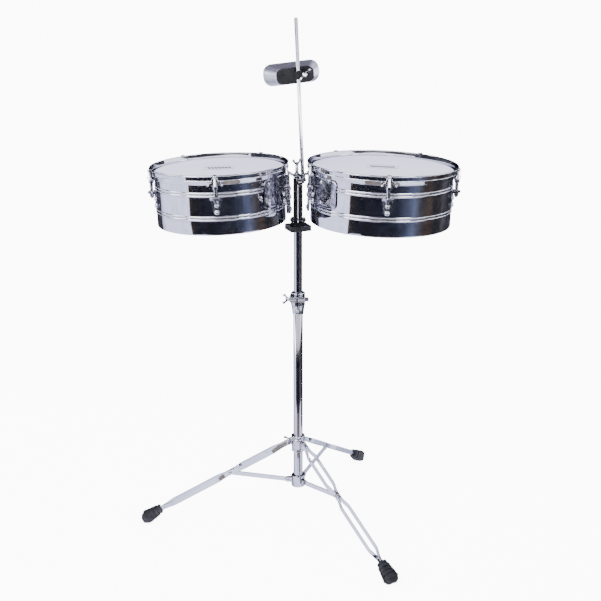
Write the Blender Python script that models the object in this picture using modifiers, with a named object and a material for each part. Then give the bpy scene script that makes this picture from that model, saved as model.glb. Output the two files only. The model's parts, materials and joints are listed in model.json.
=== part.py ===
"""Timbales: two tunable metal drums and a cowbell on a folding tripod stand.

Metres, +Z up. The origin is the middle of the object's footprint on the floor.
Everything is modelled round the stand's pole and then moved by STAND_AXIS.
"""
from math import acos, atan2, cos, pi, radians, sin

import bmesh
import bpy
from mathutils import Matrix, Vector

# Where the pole's axis stands on the floor, seen from the middle of the footprint
STAND_AXIS = Vector((0.0116, -0.0286, 0.0))
GAP = 0.0003  # clear space between pieces that touch
SLIP = 0.0004  # clear space round a pin or a shank

# Drums. Heights inside a drum are measured down from the top of its hoop.
LEFT_RADIUS = 0.1650  # outside of the 13 inch shell
RIGHT_RADIUS = 0.1778  # outside of the 14 inch shell
LEFT_CENTRE = Vector((-0.2015, 0.0, 0.9810))
RIGHT_CENTRE = Vector((0.2140, -0.0030, 0.9897))
LEFT_LEAN = radians(-2.2)
RIGHT_LEAN = radians(1.8)
DRUM_SIDES = 40
SHELL_TOP = 0.0108
LEFT_DEPTH = 0.1460
RIGHT_DEPTH = 0.1485
SHELL_WALL = 0.0015
BEAD_HEIGHTS = (0.0450, 0.1040)
BEAD_HALF = 0.0070
BEAD_PROUD = 0.0012
HOOP_RISE = 0.0040
HOOP_DROP = 0.0200
HOOP_OUT = 0.0126  # hoop's outer face, out from the shell
HOOP_WALL = 0.0030
HEAD_TOP = 0.0085
HEAD_FILM = 0.0020
COLLAR_DEPTH = 0.0185

# Lugs, claws and tension rods
LUG_COUNT = 5
FIRST_LUG = radians(-85.0)
ROD_OUT = 0.0115  # tension rod's axis, out from the shell
ROD_RADIUS = 0.0032
NUT_RADIUS = 0.0050
SHELF_TOP = 0.0500
SHELF_THICK = 0.0060
SHELF_REACH = 0.0225
SHELF_WIDTH = 0.0300
LUG_BOTTOM = 0.0945
CLAW_DROP = 0.0252
CLAW_THICK = 0.0060
CLAW_RISE = 0.0066

# Saddle plates and the arms that hold the drums
SADDLE_IN = 0.0016
SADDLE_OUT = 0.0036
LEFT_SADDLE = radians(42.0)  # half the angle that the plate covers
RIGHT_SADDLE = radians(53.0)
SADDLE_TOP = 0.0215
SADDLE_BOTTOM = 0.0940
LUG_HALF_ANGLE = radians(6.0)
SPINE_TOP = 0.0245
SPINE_BOTTOM = 0.1280
SPINE_HALF_WIDTH = 0.0110
LEFT_SPINE_DEPTH = 0.0140  # out from the shell
RIGHT_SPINE_DEPTH = 0.0090
ARM_THICK = 0.0035
ARM_WIDTH = 0.0180
ARM_FLAT = 0.0125  # from the bolt's axis to where the strap starts to rise
EYE_RADIUS = 0.0100
RIGHT_ARM_Z = 0.9525
LEFT_ARM_Z = RIGHT_ARM_Z + ARM_THICK + GAP
BOLT_AXIS = Vector((-0.0030, 0.0040, 0.0))

# Tilter
BLOCK_SIZE = Vector((0.0560, 0.0480, 0.0150))
BLOCK_BOTTOM = 0.8150
BLOCK_TURN = radians(26.0)
TILT_Z = 0.8420
POST_WIDTH = 0.0118
POST_DEPTH = 0.0160
POST_TOP = 0.9520
EAR_IN = 0.0126
EAR_THICK = 0.0050

# Pole
BASE_TUBE_RADIUS = 0.0127
BASE_TUBE_BORE = 0.0115
BASE_TUBE_BOTTOM = 0.0975
BASE_TUBE_TOP = 0.6000
UPPER_TUBE_RADIUS = 0.0111
UPPER_TUBE_BORE = 0.0097
UPPER_TUBE_BOTTOM = 0.3000

# Tripod
LEG_ANGLES = tuple(radians(angle) for angle in (187.9, 307.9, 67.9))
LEG_PIVOT = Vector((0.0271, 0.2249))  # out from the pole, and up
BRACE_PIVOT = Vector((0.0293, 0.1144))
FOOT_END = Vector((0.4077, 0.0200))
MID_JOINT = 0.419  # share of the leg's length, from its pivot
BAR_THICK = 0.0030
BAR_DEPTH = 0.0130
PIN_RADIUS = 0.0030
FOOT_WIDTH = 0.0260

# Cowbell
ROD_FOOT = Vector((0.0142, -0.0160, 0.9400))
ROD_TIP = Vector((-0.0036, -0.0160, 1.3460))
BELL_ROD_RADIUS = 0.0040
BELL_HEIGHT = 1.2086
BELL_YAW = radians(7.7)
BELL_DIP = radians(3.6)
BELL_ROLL = radians(6.5)
BELL_LENGTH = 0.1900
CROWN_SIZE = (0.0940, 0.0400)
MOUTH_SIZE = (0.1480, 0.0580)
BELL_WALL = 0.0016


def clear_scene():
    for obj in list(bpy.data.objects):
        bpy.data.objects.remove(obj, do_unlink=True)


def make_collection(name):
    collection = bpy.data.collections.new(name)
    bpy.context.scene.collection.children.link(collection)
    return collection


def make_material(name, color, roughness, metallic):
    material = bpy.data.materials.new(name)
    material.use_nodes = True
    shader = material.node_tree.nodes["Principled BSDF"]
    shader.inputs["Base Color"].default_value = (*color, 1.0)
    shader.inputs["Roughness"].default_value = roughness
    shader.inputs["Metallic"].default_value = metallic
    return material


clear_scene()
PARTS = make_collection("timbales")
CUTTERS = make_collection("cutters")
CHROME = make_material("chrome", (0.80, 0.80, 0.82), 0.08, 1.0)
STEEL = make_material("plated steel", (0.62, 0.62, 0.64), 0.25, 1.0)
FILM = make_material("coated film", (0.88, 0.88, 0.92), 0.60, 0.0)
BLACK = make_material("black paint", (0.02, 0.02, 0.022), 0.40, 0.0)
RUBBER = make_material("black rubber", (0.015, 0.015, 0.015), 0.75, 0.0)


def move_to(obj, collection):
    for old in list(obj.users_collection):
        old.objects.unlink(obj)
    collection.objects.link(obj)


def part(obj, name, material):
    """Makes an object one of the part's nodes."""
    obj.name = name
    obj.data.name = name
    obj.data.materials.clear()
    obj.data.materials.append(material)
    move_to(obj, PARTS)
    return obj


def combine(target, tools, operation):
    """Joins tools to the target, or cuts them from it, with exact Booleans."""
    for tool in tools:
        tool.name = f"{operation.lower()}_tool"
        tool.hide_render = True
        tool.display_type = "WIRE"
        move_to(tool, CUTTERS)
        modifier = target.modifiers.new(operation.lower(), "BOOLEAN")
        modifier.operation = operation
        modifier.solver = "EXACT"
        modifier.object = tool
    return target


def join(target, *tools):
    return combine(target, tools, "UNION")


def cut(target, *tools):
    return combine(target, tools, "DIFFERENCE")


def box(low, high, frame=Matrix.Identity(4)):
    """A box between two corners of a frame."""
    low, high = Vector(low), Vector(high)
    bpy.ops.mesh.primitive_cube_add(size=1.0)
    obj = bpy.context.object
    obj.data.transform(Matrix.Diagonal((*(high - low), 1.0)))
    obj.matrix_world = frame @ Matrix.Translation((low + high) / 2)
    return obj


def rod(start, end, radius, sides=16, end_radius=None):
    """A round bar between two points, or a cone when it has an end radius."""
    start, end = Vector(start), Vector(end)
    along = end - start
    tip = radius if end_radius is None else end_radius
    bpy.ops.mesh.primitive_cone_add(
        vertices=sides,
        radius1=radius,
        radius2=tip,
        depth=along.length,
        location=(start + end) / 2,
        rotation=along.to_track_quat("Z", "Y").to_euler(),
    )
    return bpy.context.object


def turned(profile, sides, closed, frame=Matrix.Identity(4)):
    """A turned shape. The profile of (radius, height) runs down its outer side."""
    mesh = bpy.data.meshes.new("profile")
    points = [(radius, 0.0, height) for radius, height in profile]
    edges = [(i, i + 1) for i in range(len(points) - 1)]
    if closed:
        edges.append((len(points) - 1, 0))
    mesh.from_pydata(points, edges, [])
    obj = bpy.data.objects.new("turned", mesh)
    PARTS.objects.link(obj)
    screw = obj.modifiers.new("turn", "SCREW")
    screw.steps = sides
    screw.render_steps = sides
    screw.use_merge_vertices = True
    screw.merge_threshold = 0.00001
    obj.matrix_world = frame
    return obj


def plate(outline, low, high, frame=Matrix.Identity(4)):
    """A flat outline in a frame's XY plane, as thick as from low to high along its Z."""
    curve = bpy.data.curves.new("outline", "CURVE")
    curve.dimensions = "2D"
    curve.fill_mode = "BOTH"
    curve.extrude = (high - low) / 2
    spline = curve.splines.new("POLY")
    spline.points.add(len(outline) - 1)
    for point, (x, y) in zip(spline.points, outline):
        point.co = (x, y, 0.0, 1.0)
    spline.use_cyclic_u = True
    source = bpy.data.objects.new("outline", curve)
    PARTS.objects.link(source)
    source.matrix_world = frame @ Matrix.Translation((0.0, 0.0, (low + high) / 2))
    bpy.context.view_layer.update()
    graph = bpy.context.evaluated_depsgraph_get()
    mesh = bpy.data.meshes.new_from_object(source.evaluated_get(graph))
    work = bmesh.new()
    work.from_mesh(mesh)
    bmesh.ops.remove_doubles(work, verts=work.verts, dist=0.00001)
    bmesh.ops.recalc_face_normals(work, faces=work.faces)
    work.to_mesh(mesh)
    work.free()
    obj = bpy.data.objects.new("plate", mesh)
    PARTS.objects.link(obj)
    obj.matrix_world = source.matrix_world.copy()
    bpy.data.objects.remove(source)
    return obj


def frame_from(x_axis, y_axis, z_axis, origin):
    """A frame with the given axes and origin."""
    matrix = Matrix((x_axis, y_axis, z_axis)).transposed().to_4x4()
    matrix.translation = origin
    return matrix


def arc(centre, radius, start, end, steps):
    """Points along a round stretch of an outline, both ends included."""
    angles = [start + (end - start) * i / steps for i in range(steps + 1)]
    return [(centre[0] + radius * cos(a), centre[1] + radius * sin(a)) for a in angles]


def set_origin(obj, point):
    """Puts an object's own origin on a point, without moving its shape."""
    bpy.context.view_layer.update()
    shift = obj.matrix_world.inverted() @ Vector(point)
    obj.data.transform(Matrix.Translation(-shift))
    obj.matrix_world = obj.matrix_world @ Matrix.Translation(shift)
    return obj


# ---------------------------------------------------------------- pole and tripod


def radial_frame(angle):
    """X points out from the pole, Y runs round it and Z is up."""
    return Matrix.Rotation(angle, 4, "Z")


def side_frame(angle, origin, slope):
    """X runs out and up at a slope, Y is square to it in the same upright plane."""
    out = Vector((cos(angle), sin(angle), 0.0))
    up = Vector((0.0, 0.0, 1.0))
    along = out * cos(slope) + up * sin(slope)
    above = up * cos(slope) - out * sin(slope)
    start = out * origin.x + up * origin.y
    return frame_from(along, above, along.cross(above), start)


def make_base_tube():
    profile = [
        (BASE_TUBE_RADIUS, BASE_TUBE_TOP),
        (BASE_TUBE_RADIUS, BASE_TUBE_BOTTOM),
        (BASE_TUBE_BORE, BASE_TUBE_BOTTOM),
        (BASE_TUBE_BORE, BASE_TUBE_TOP),
    ]
    part(turned(profile, 24, True), "base_tube", CHROME)


def make_upper_tube():
    top = BLOCK_BOTTOM - GAP
    profile = [
        (UPPER_TUBE_RADIUS, top),
        (UPPER_TUBE_RADIUS, UPPER_TUBE_BOTTOM),
        (UPPER_TUBE_BORE, UPPER_TUBE_BOTTOM),
        (UPPER_TUBE_BORE, top),
    ]
    part(turned(profile, 24, True), "upper_tube", CHROME)


def make_brace_collar():
    bore = BASE_TUBE_RADIUS + GAP
    profile = [(0.0180, 0.1280), (0.0190, 0.1265), (0.0190, 0.0945), (bore, 0.0945), (bore, 0.1280)]
    collar = part(turned(profile, 24, True), "brace_collar", STEEL)
    for angle in LEG_ANGLES:
        frame = radial_frame(angle)
        for side in (-1, 1):
            near, far = sorted((side * 0.0028, side * 0.0058))
            low = (0.0165, near, BRACE_PIVOT.y - 0.0072)
            high = (BRACE_PIVOT.x + 0.0068, far, BRACE_PIVOT.y + 0.0072)
            join(collar, box(low, high, frame))
        pivot = Vector((BRACE_PIVOT.x, 0.0, BRACE_PIVOT.y))
        reach = Vector((0.0, 0.0090, 0.0))
        hole = rod(frame @ (pivot - reach), frame @ (pivot + reach), PIN_RADIUS + SLIP, 12)
        cut(collar, hole)


LEG_BOLT_ANGLE = radians(222.0)
LEG_BOLT_Z = 0.2385


def make_leg_collar():
    bore = BASE_TUBE_RADIUS + GAP
    profile = [(0.0170, 0.2460), (0.0182, 0.2440), (0.0182, 0.2000), (bore, 0.2000), (bore, 0.2460)]
    collar = part(turned(profile, 24, True), "leg_collar", STEEL)
    for angle in LEG_ANGLES:
        frame = radial_frame(angle)
        low = (0.0160, -0.0025, LEG_PIVOT.y - 0.0065)
        high = (LEG_PIVOT.x + 0.0058, 0.0025, LEG_PIVOT.y + 0.0065)
        join(collar, box(low, high, frame))
        pivot = Vector((LEG_PIVOT.x, 0.0, LEG_PIVOT.y))
        reach = Vector((0.0, 0.0050, 0.0))
        hole = rod(frame @ (pivot - reach), frame @ (pivot + reach), PIN_RADIUS + SLIP, 12)
        cut(collar, hole)
    frame = Matrix.Translation((0.0, 0.0, LEG_BOLT_Z)) @ radial_frame(LEG_BOLT_ANGLE)
    boss = rod(frame @ Vector((0.0150, 0, 0)), frame @ Vector((0.0235, 0, 0)), 0.0062, 12)
    bore_tool = rod(frame @ Vector((0.0170, 0, 0)), frame @ Vector((0.0240, 0, 0)), 0.0034, 12)
    join(collar, boss)
    cut(collar, bore_tool)
    wing_bolt("leg_collar_bolt", frame @ Vector((0.0175, 0, 0)), frame @ Vector((0.0238, 0, 0)), 0.0130)


def wing_bolt(name, tip, seat, span, hub=0.0100):
    """A hand screw: a shank from its tip to the seat of its head, a hub and two wings."""
    tip, seat = Vector(tip), Vector(seat)
    along = (seat - tip).normalized()
    bolt = rod(tip, seat + along * 0.0020, 0.0030, 12)
    part(bolt, name, STEEL)
    join(bolt, rod(seat, seat + along * hub, 0.0052, 12, 0.0042))
    across = along.orthogonal().normalized()
    frame = frame_from(across, along, across.cross(along), seat + along * (hub - 0.0100))
    outline = [(-0.0030, 0.0030), (0.0030, 0.0030), (span, 0.0120), (span, 0.0180), (0.0, 0.0085)]
    outline += [(-span, 0.0180), (-span, 0.0120)]
    join(bolt, plate(outline, -0.0014, 0.0014, frame))
    set_origin(bolt, tip)
    return bolt


LEG_VECTOR = FOOT_END - LEG_PIVOT
LEG_LENGTH = LEG_VECTOR.length
LEG_SLOPE = atan2(LEG_VECTOR.y, LEG_VECTOR.x)
MID_POINT = LEG_PIVOT + LEG_VECTOR * MID_JOINT
BRACE_VECTOR = MID_POINT - BRACE_PIVOT
BRACE_SLOPE = atan2(BRACE_VECTOR.y, BRACE_VECTOR.x)
MID_DISTANCE = LEG_LENGTH * MID_JOINT
PINCHED = 0.0028 + BAR_THICK / 2  # a bar's middle from the leg's middle, beside an ear or a brace
SPREAD = 0.0115  # the same, where the two bars stand apart
BAR_PATH = (
    (-0.0040, PINCHED),
    (0.0220, PINCHED),
    (0.0450, SPREAD),
    (MID_DISTANCE - 0.0380, SPREAD),
    (MID_DISTANCE - 0.0140, PINCHED),
    (MID_DISTANCE + 0.0140, PINCHED),
    (MID_DISTANCE + 0.0380, SPREAD),
    (LEG_LENGTH - 0.0750, SPREAD),
    (LEG_LENGTH - 0.0450, BAR_THICK / 2),
)


def make_leg(number, angle):
    """Two flat bars that spread apart twice, made as one outline and extruded by their depth."""
    half = BAR_THICK / 2
    outer = [(along, aside + half) for along, aside in BAR_PATH] + [(LEG_LENGTH, BAR_THICK)]
    inner = [(along, aside - half) for along, aside in BAR_PATH]
    outline = [(along, -aside) for along, aside in outer] + outer[::-1]
    outline += inner + [(along, -aside) for along, aside in inner[-2::-1]]
    side = side_frame(angle, LEG_PIVOT, LEG_SLOPE)
    turn = Matrix.Rotation(-pi / 2, 4, "X")
    leg = plate(outline, -BAR_DEPTH / 2, BAR_DEPTH / 2, side @ turn)
    part(leg, f"leg_{number}", CHROME)
    reach = PINCHED + half
    pin = rod(side @ Vector((0, 0, -reach)), side @ Vector((0, 0, reach)), PIN_RADIUS, 12)
    join(leg, pin)
    return leg


def make_foot(number, angle):
    """A rubber boot with a flat sole, slanting up round the end of the leg."""
    frame = side_frame(angle, Vector((0.0, 0.0)), 0.0)
    outline = [(0.3672, 0.0298), (0.3900, 0.0), (0.4370, 0.0), (0.4370, 0.0110), (0.4290, 0.0215)]
    outline += [(0.3778, 0.0490)]
    foot = plate(outline, -FOOT_WIDTH / 2, FOOT_WIDTH / 2, frame)
    part(foot, f"foot_{number}", RUBBER)
    bevel = foot.modifiers.new("soft edges", "BEVEL")
    bevel.width = 0.0035
    bevel.segments = 2
    bevel.limit_method = "ANGLE"
    side = side_frame(angle, LEG_PIVOT, LEG_SLOPE)
    half_depth = BAR_DEPTH / 2 + GAP
    half_width = BAR_THICK + GAP
    low = (LEG_LENGTH - 0.0600, -half_depth, -half_width)
    high = (LEG_LENGTH + GAP, half_depth, half_width)
    cut(foot, box(low, high, side))


def make_brace(number, angle):
    """A flat bar with round ends, on a pin through the lower collar's fork."""
    length = BRACE_VECTOR.length
    half = BAR_DEPTH / 2
    outline = arc((length, 0.0), half, -pi / 2, pi / 2, 8) + arc((0.0, 0.0), half, pi / 2, 3 * pi / 2, 8)
    side = side_frame(angle, BRACE_PIVOT, BRACE_SLOPE)
    brace = plate(outline, -0.0024, 0.0024, side)
    part(brace, f"brace_{number}", CHROME)
    join(brace, rod(side @ Vector((0, 0, -0.0075)), side @ Vector((0, 0, 0.0075)), PIN_RADIUS, 12))


def make_height_clamp():
    """A split clamp on the top of the base tube, with its bolt across the front."""
    wide = BASE_TUBE_RADIUS + GAP
    narrow = UPPER_TUBE_RADIUS + GAP
    step = BASE_TUBE_TOP + GAP
    profile = [(0.0180, 0.6490), (0.0180, 0.6130), (0.0170, 0.6130), (0.0142, 0.5900)]
    profile += [(wide, 0.5900), (wide, step), (narrow, step), (narrow, 0.6490)]
    clamp = part(turned(profile, 24, True), "height_clamp", STEEL)
    for side in (-1, 1):
        near, far = sorted((side * 0.0015, side * 0.0200))
        join(clamp, box((near, -0.0310, 0.6250), (far, -0.0140, 0.6480)))
    join(clamp, rod((0.0190, -0.0240, 0.6365), (0.0300, -0.0240, 0.6365), 0.0068, 4))
    cut(clamp, box((-0.0015, -0.0400, 0.6132), (0.0015, -0.0100, 0.6600)))
    cut(clamp, rod((-0.0120, -0.0240, 0.6365), (-0.0300, -0.0240, 0.6365), 0.0034, 12))
    wing_bolt("height_clamp_bolt", (-0.0125, -0.0240, 0.6365), (-0.0203, -0.0240, 0.6365), 0.0130)


# ---------------------------------------------------------------- tilter


def make_tilter_block():
    """A thick plate that turns on the pole and carries the tilt ears."""
    half = BLOCK_SIZE / 2
    frame = Matrix.Translation((0.0, 0.0, BLOCK_BOTTOM)) @ Matrix.Rotation(BLOCK_TURN, 4, "Z")
    block = box((-half.x, -half.y, 0.0), (half.x, half.y, BLOCK_SIZE.z), frame)
    part(block, "tilter_block", BLACK)
    bevel = block.modifiers.new("soft edges", "BEVEL")
    bevel.width = 0.0020
    bevel.segments = 2
    plug = UPPER_TUBE_BORE - GAP
    join(block, rod((0, 0, BLOCK_BOTTOM - 0.0300), (0, 0, BLOCK_BOTTOM + 0.0020), plug, 16))
    top = BLOCK_BOTTOM + BLOCK_SIZE.z
    for side in (-1, 1):
        near, far = sorted((side * EAR_IN, side * (EAR_IN + EAR_THICK)))
        join(block, box((near, -0.0085, top - 0.0020), (far, 0.0085, TILT_Z + 0.0060)))
    reach = EAR_IN + EAR_THICK + 0.0020
    cut(block, rod((-reach, 0, TILT_Z), (reach, 0, TILT_Z), PIN_RADIUS + SLIP, 12))


def make_tilter_posts():
    """Twin posts on the tilt pin, with a shelf in front that holds the cowbell rod."""
    half = POST_DEPTH / 2
    frame = frame_from(Vector((0, 1, 0)), Vector((0, 0, 1)), Vector((1, 0, 0)), Vector((0, 0, 0)))
    tall = [(half, POST_TOP - 0.0030), (-half, POST_TOP)]
    low_end = arc((0.0, TILT_Z), half, pi, 2 * pi, 8)
    posts = plate(low_end + tall, -POST_WIDTH, -0.0005, frame)
    part(posts, "tilter_posts", CHROME)
    round_top = arc((0.0, POST_TOP - 0.0040 - half), half, 0.0, pi, 8)
    join(posts, plate(low_end + round_top, 0.0005, POST_WIDTH, frame))
    join(posts, box((-0.0040, -0.0060, TILT_Z - 0.0050), (0.0040, 0.0060, TILT_Z + 0.0120)))
    shelf_z = 0.9445
    join(posts, box((-0.0030, -0.0225, shelf_z), (0.0205, 0.0040, shelf_z + 0.0060)))
    boss = BOLT_AXIS + Vector((0, 0, POST_TOP - 0.0200))
    join(posts, rod(boss, BOLT_AXIS + Vector((0, 0, RIGHT_ARM_Z - GAP)), 0.0075, 16))
    reach = EAR_IN + EAR_THICK + 0.0010
    join(posts, rod((-reach, 0, TILT_Z), (reach, 0, TILT_Z), PIN_RADIUS, 12))
    along = (ROD_TIP - ROD_FOOT).normalized()
    socket = rod(ROD_FOOT - along * 0.0100, ROD_FOOT + along * 0.0300, BELL_ROD_RADIUS + SLIP, 16)
    bore = rod(BOLT_AXIS + Vector((0, 0, 0.9350)), BOLT_AXIS + Vector((0, 0, 0.9600)), 0.0034, 12)
    cut(posts, socket, bore)


# ---------------------------------------------------------------- drums


class Drum:
    """The places on one drum. Local Z is the drum's axis, with 0 a little below the hoop's top."""

    def __init__(self, name, centre, lean, radius, depth, inward, saddle):
        self.name = name
        self.radius = radius
        self.depth = depth
        self.inward = inward
        self.saddle = saddle
        self.frame = Matrix.Translation(centre) @ Matrix.Rotation(lean, 4, "Y")

    def lug_frame(self, number):
        angle = FIRST_LUG + 2 * pi * (number - 1) / LUG_COUNT
        return self.frame @ Matrix.Rotation(angle, 4, "Z")

    def on_saddle(self, number):
        """Whether this lug stands on the saddle plate."""
        angle = FIRST_LUG + 2 * pi * (number - 1) / LUG_COUNT
        away = acos(cos(angle - self.inward))
        return away < self.saddle + LUG_HALF_ANGLE


def make_shell(drum):
    profile = [(drum.radius, -SHELL_TOP)]
    for height in BEAD_HEIGHTS:
        profile += [
            (drum.radius, -height + BEAD_HALF),
            (drum.radius + BEAD_PROUD, -height + BEAD_HALF * 0.6),
            (drum.radius + BEAD_PROUD, -height - BEAD_HALF * 0.6),
            (drum.radius, -height - BEAD_HALF),
        ]
    profile.append((drum.radius, -drum.depth))
    shell = turned(profile, DRUM_SIDES, False, drum.frame)
    wall = shell.modifiers.new("wall", "SOLIDIFY")
    wall.thickness = SHELL_WALL
    wall.offset = -1.0
    part(shell, f"{drum.name}_shell", CHROME)


def make_hoop(drum):
    outer = drum.radius + HOOP_OUT
    inner = outer - HOOP_WALL
    profile = [(outer, HOOP_RISE), (outer, -HOOP_DROP), (inner, -HOOP_DROP), (inner, HOOP_RISE)]
    part(turned(profile, DRUM_SIDES, True, drum.frame), f"{drum.name}_hoop", CHROME)


def make_head(drum):
    """The drum head: a film across the shell's edge with a stiff ring round it."""
    outer = drum.radius + HOOP_OUT - HOOP_WALL - 0.0004
    inner = drum.radius + 0.0004
    under = -HEAD_TOP - HEAD_FILM
    profile = [(0.0, -HEAD_TOP), (outer, -HEAD_TOP), (outer, -COLLAR_DEPTH)]
    profile += [(inner, -COLLAR_DEPTH), (inner, under), (0.0, under)]
    part(turned(profile, DRUM_SIDES, False, drum.frame), f"{drum.name}_head", FILM)


def make_lug(drum, number):
    """A shelf for the tension rod on a plate that narrows downwards."""
    lift = SADDLE_OUT if drum.on_saddle(number) else 0.0
    frame = drum.lug_frame(number)
    back = drum.radius + lift + 0.0004
    shelf_back = back + (0.0 if lift else 0.0013)
    half = SHELF_WIDTH / 2
    low = (shelf_back, -half, -SHELF_TOP - SHELF_THICK)
    high = (drum.radius + SHELF_REACH, half, -SHELF_TOP)
    lug = part(box(low, high, frame), f"{drum.name}_lug_{number}", CHROME)
    foot_radius = 0.0070
    outline = [(0.0130, -0.0535)]
    outline += [(-0.0130, -0.0535)]
    outline += arc((0.0, -LUG_BOTTOM + foot_radius), foot_radius, pi, 2 * pi, 6)
    facing = frame_from(Vector((0, 1, 0)), Vector((0, 0, 1)), Vector((1, 0, 0)), Vector((back, 0, 0)))
    join(lug, plate(outline, 0.0, 0.0022, frame @ facing))
    axis = drum.radius + ROD_OUT
    top = frame @ Vector((axis, 0, -SHELF_TOP + 0.0050))
    bottom = frame @ Vector((axis, 0, -SHELF_TOP - SHELF_THICK - 0.0050))
    cut(lug, rod(top, bottom, ROD_RADIUS + SLIP, 12))


def make_claw(drum, number):
    """A saddle that hooks over the hoop, with two ears spreading down its face."""
    frame = drum.lug_frame(number)
    face = drum.radius + HOOP_OUT + 0.0004
    outline = [(0.0090, CLAW_RISE), (-0.0090, CLAW_RISE), (-0.0120, -0.0080), (-0.0200, -0.0200)]
    outline += [(-0.0200, -CLAW_DROP), (0.0200, -CLAW_DROP), (0.0200, -0.0200), (0.0120, -0.0080)]
    facing = frame_from(Vector((0, 1, 0)), Vector((0, 0, 1)), Vector((1, 0, 0)), Vector((face, 0, 0)))
    claw = plate(outline, 0.0, CLAW_THICK, frame @ facing)
    part(claw, f"{drum.name}_claw_{number}", CHROME)
    lip = CLAW_RISE - 0.0004
    join(claw, box((face - 0.0060, -0.0080, HOOP_RISE + GAP), (face + 0.0040, 0.0080, lip), frame))
    low = (drum.radius + 0.0042, -0.0085, -CLAW_DROP + 0.0003)
    high = (face + 0.0040, 0.0085, -HOOP_DROP - 0.0004)
    join(claw, box(low, high, frame))


def make_tension_rod(drum, number):
    """The tuning rod and its nut under the lug's shelf."""
    frame = drum.lug_frame(number)
    axis = drum.radius + ROD_OUT
    top = frame @ Vector((axis, 0, -CLAW_DROP - GAP))
    bottom = frame @ Vector((axis, 0, -0.0660))
    nut_top = frame @ Vector((axis, 0, -SHELF_TOP - SHELF_THICK - GAP))
    nut_bottom = frame @ Vector((axis, 0, -SHELF_TOP - SHELF_THICK - 0.0075))
    tension_rod = part(rod(top, bottom, ROD_RADIUS, 12), f"{drum.name}_rod_{number}", STEEL)
    join(tension_rod, rod(nut_top, nut_bottom, NUT_RADIUS, 6))


def make_mount(drum, arm_z, flat_reach, spine_depth):
    """A curved saddle plate with an upright spine, and a strap from it to the middle bolt."""
    start = drum.inward - drum.saddle
    end = drum.inward + drum.saddle
    centre = (0.0, 0.0)
    outline = arc(centre, drum.radius + SADDLE_OUT, start, end, 16)
    outline += arc(centre, drum.radius + SADDLE_IN + 0.0002, end, start, 16)
    mount = part(plate(outline, -SADDLE_BOTTOM, -SADDLE_TOP, drum.frame), f"{drum.name}_mount", STEEL)
    direction = 1.0 if cos(drum.inward) < 0 else -1.0
    middle = (SADDLE_IN + SADDLE_OUT) / 2
    reach = drum.radius + middle + 0.0004
    saddle_x = (drum.frame @ Vector((reach * cos(drum.inward), 0, -0.0260))).x
    low_x = BOLT_AXIS.x + direction * flat_reach
    high_x = low_x + direction * 0.0075
    rise = 0.0060
    side = [(BOLT_AXIS.x, arm_z), (low_x, arm_z), (high_x, arm_z + rise), (saddle_x, arm_z + rise)]
    side += [(x, z + ARM_THICK) for x, z in reversed(side)]
    frame = frame_from(Vector((1, 0, 0)), Vector((0, 0, 1)), Vector((0, -1, 0)), Vector((0, 0, 0)))
    half = ARM_WIDTH / 2
    shift = -BOLT_AXIS.y
    join(mount, plate(side, shift - half, shift + half, frame))
    low = (drum.radius + SADDLE_IN + 0.0006, -SPINE_HALF_WIDTH, -SPINE_BOTTOM)
    high = (drum.radius + spine_depth, SPINE_HALF_WIDTH, -SPINE_TOP)
    join(mount, box(low, high, drum.frame @ Matrix.Rotation(drum.inward, 4, "Z")))
    eye_low = BOLT_AXIS + Vector((0, 0, arm_z))
    eye_high = BOLT_AXIS + Vector((0, 0, arm_z + ARM_THICK))
    join(mount, rod(eye_low, eye_high, EYE_RADIUS, 20))
    reach_out = Vector((0, 0, 0.0100))
    cut(mount, rod(eye_low - reach_out, eye_high + reach_out, 0.0034, 12))


def make_drum(drum, arm_z, flat_reach, spine_depth):
    make_shell(drum)
    make_hoop(drum)
    make_head(drum)
    make_mount(drum, arm_z, flat_reach, spine_depth)
    for number in range(1, LUG_COUNT + 1):
        make_lug(drum, number)
        make_claw(drum, number)
        make_tension_rod(drum, number)


# ---------------------------------------------------------------- cowbell


def round_rectangle(size, corner, steps):
    """Points round a rectangle with round corners."""
    half_x, half_y = size[0] / 2 - corner, size[1] / 2 - corner
    points = []
    for index, (x, y) in enumerate(((1, 1), (-1, 1), (-1, -1), (1, -1))):
        start = index * pi / 2
        points += arc((x * half_x, y * half_y), corner, start, start + pi / 2, steps)
    return points


def bell_frame():
    """X runs across the bell, Z from its crown to its mouth. The origin is the clamp."""
    ahead = Vector((-sin(BELL_YAW) * cos(BELL_DIP), cos(BELL_YAW) * cos(BELL_DIP), -sin(BELL_DIP)))
    level = Vector((cos(BELL_YAW), sin(BELL_YAW), 0.0))
    upright = level.cross(ahead)
    across = level * cos(BELL_ROLL) + upright * sin(BELL_ROLL)
    share = (BELL_HEIGHT - ROD_FOOT.z) / (ROD_TIP.z - ROD_FOOT.z)
    origin = ROD_FOOT.lerp(ROD_TIP, share)
    return frame_from(across, ahead.cross(across), ahead, origin)


CROWN_Y = 0.0140  # crown's outer face, behind the rod's axis
BELL_SHIFT = -0.0074  # bell's middle, beside the rod's axis


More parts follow.
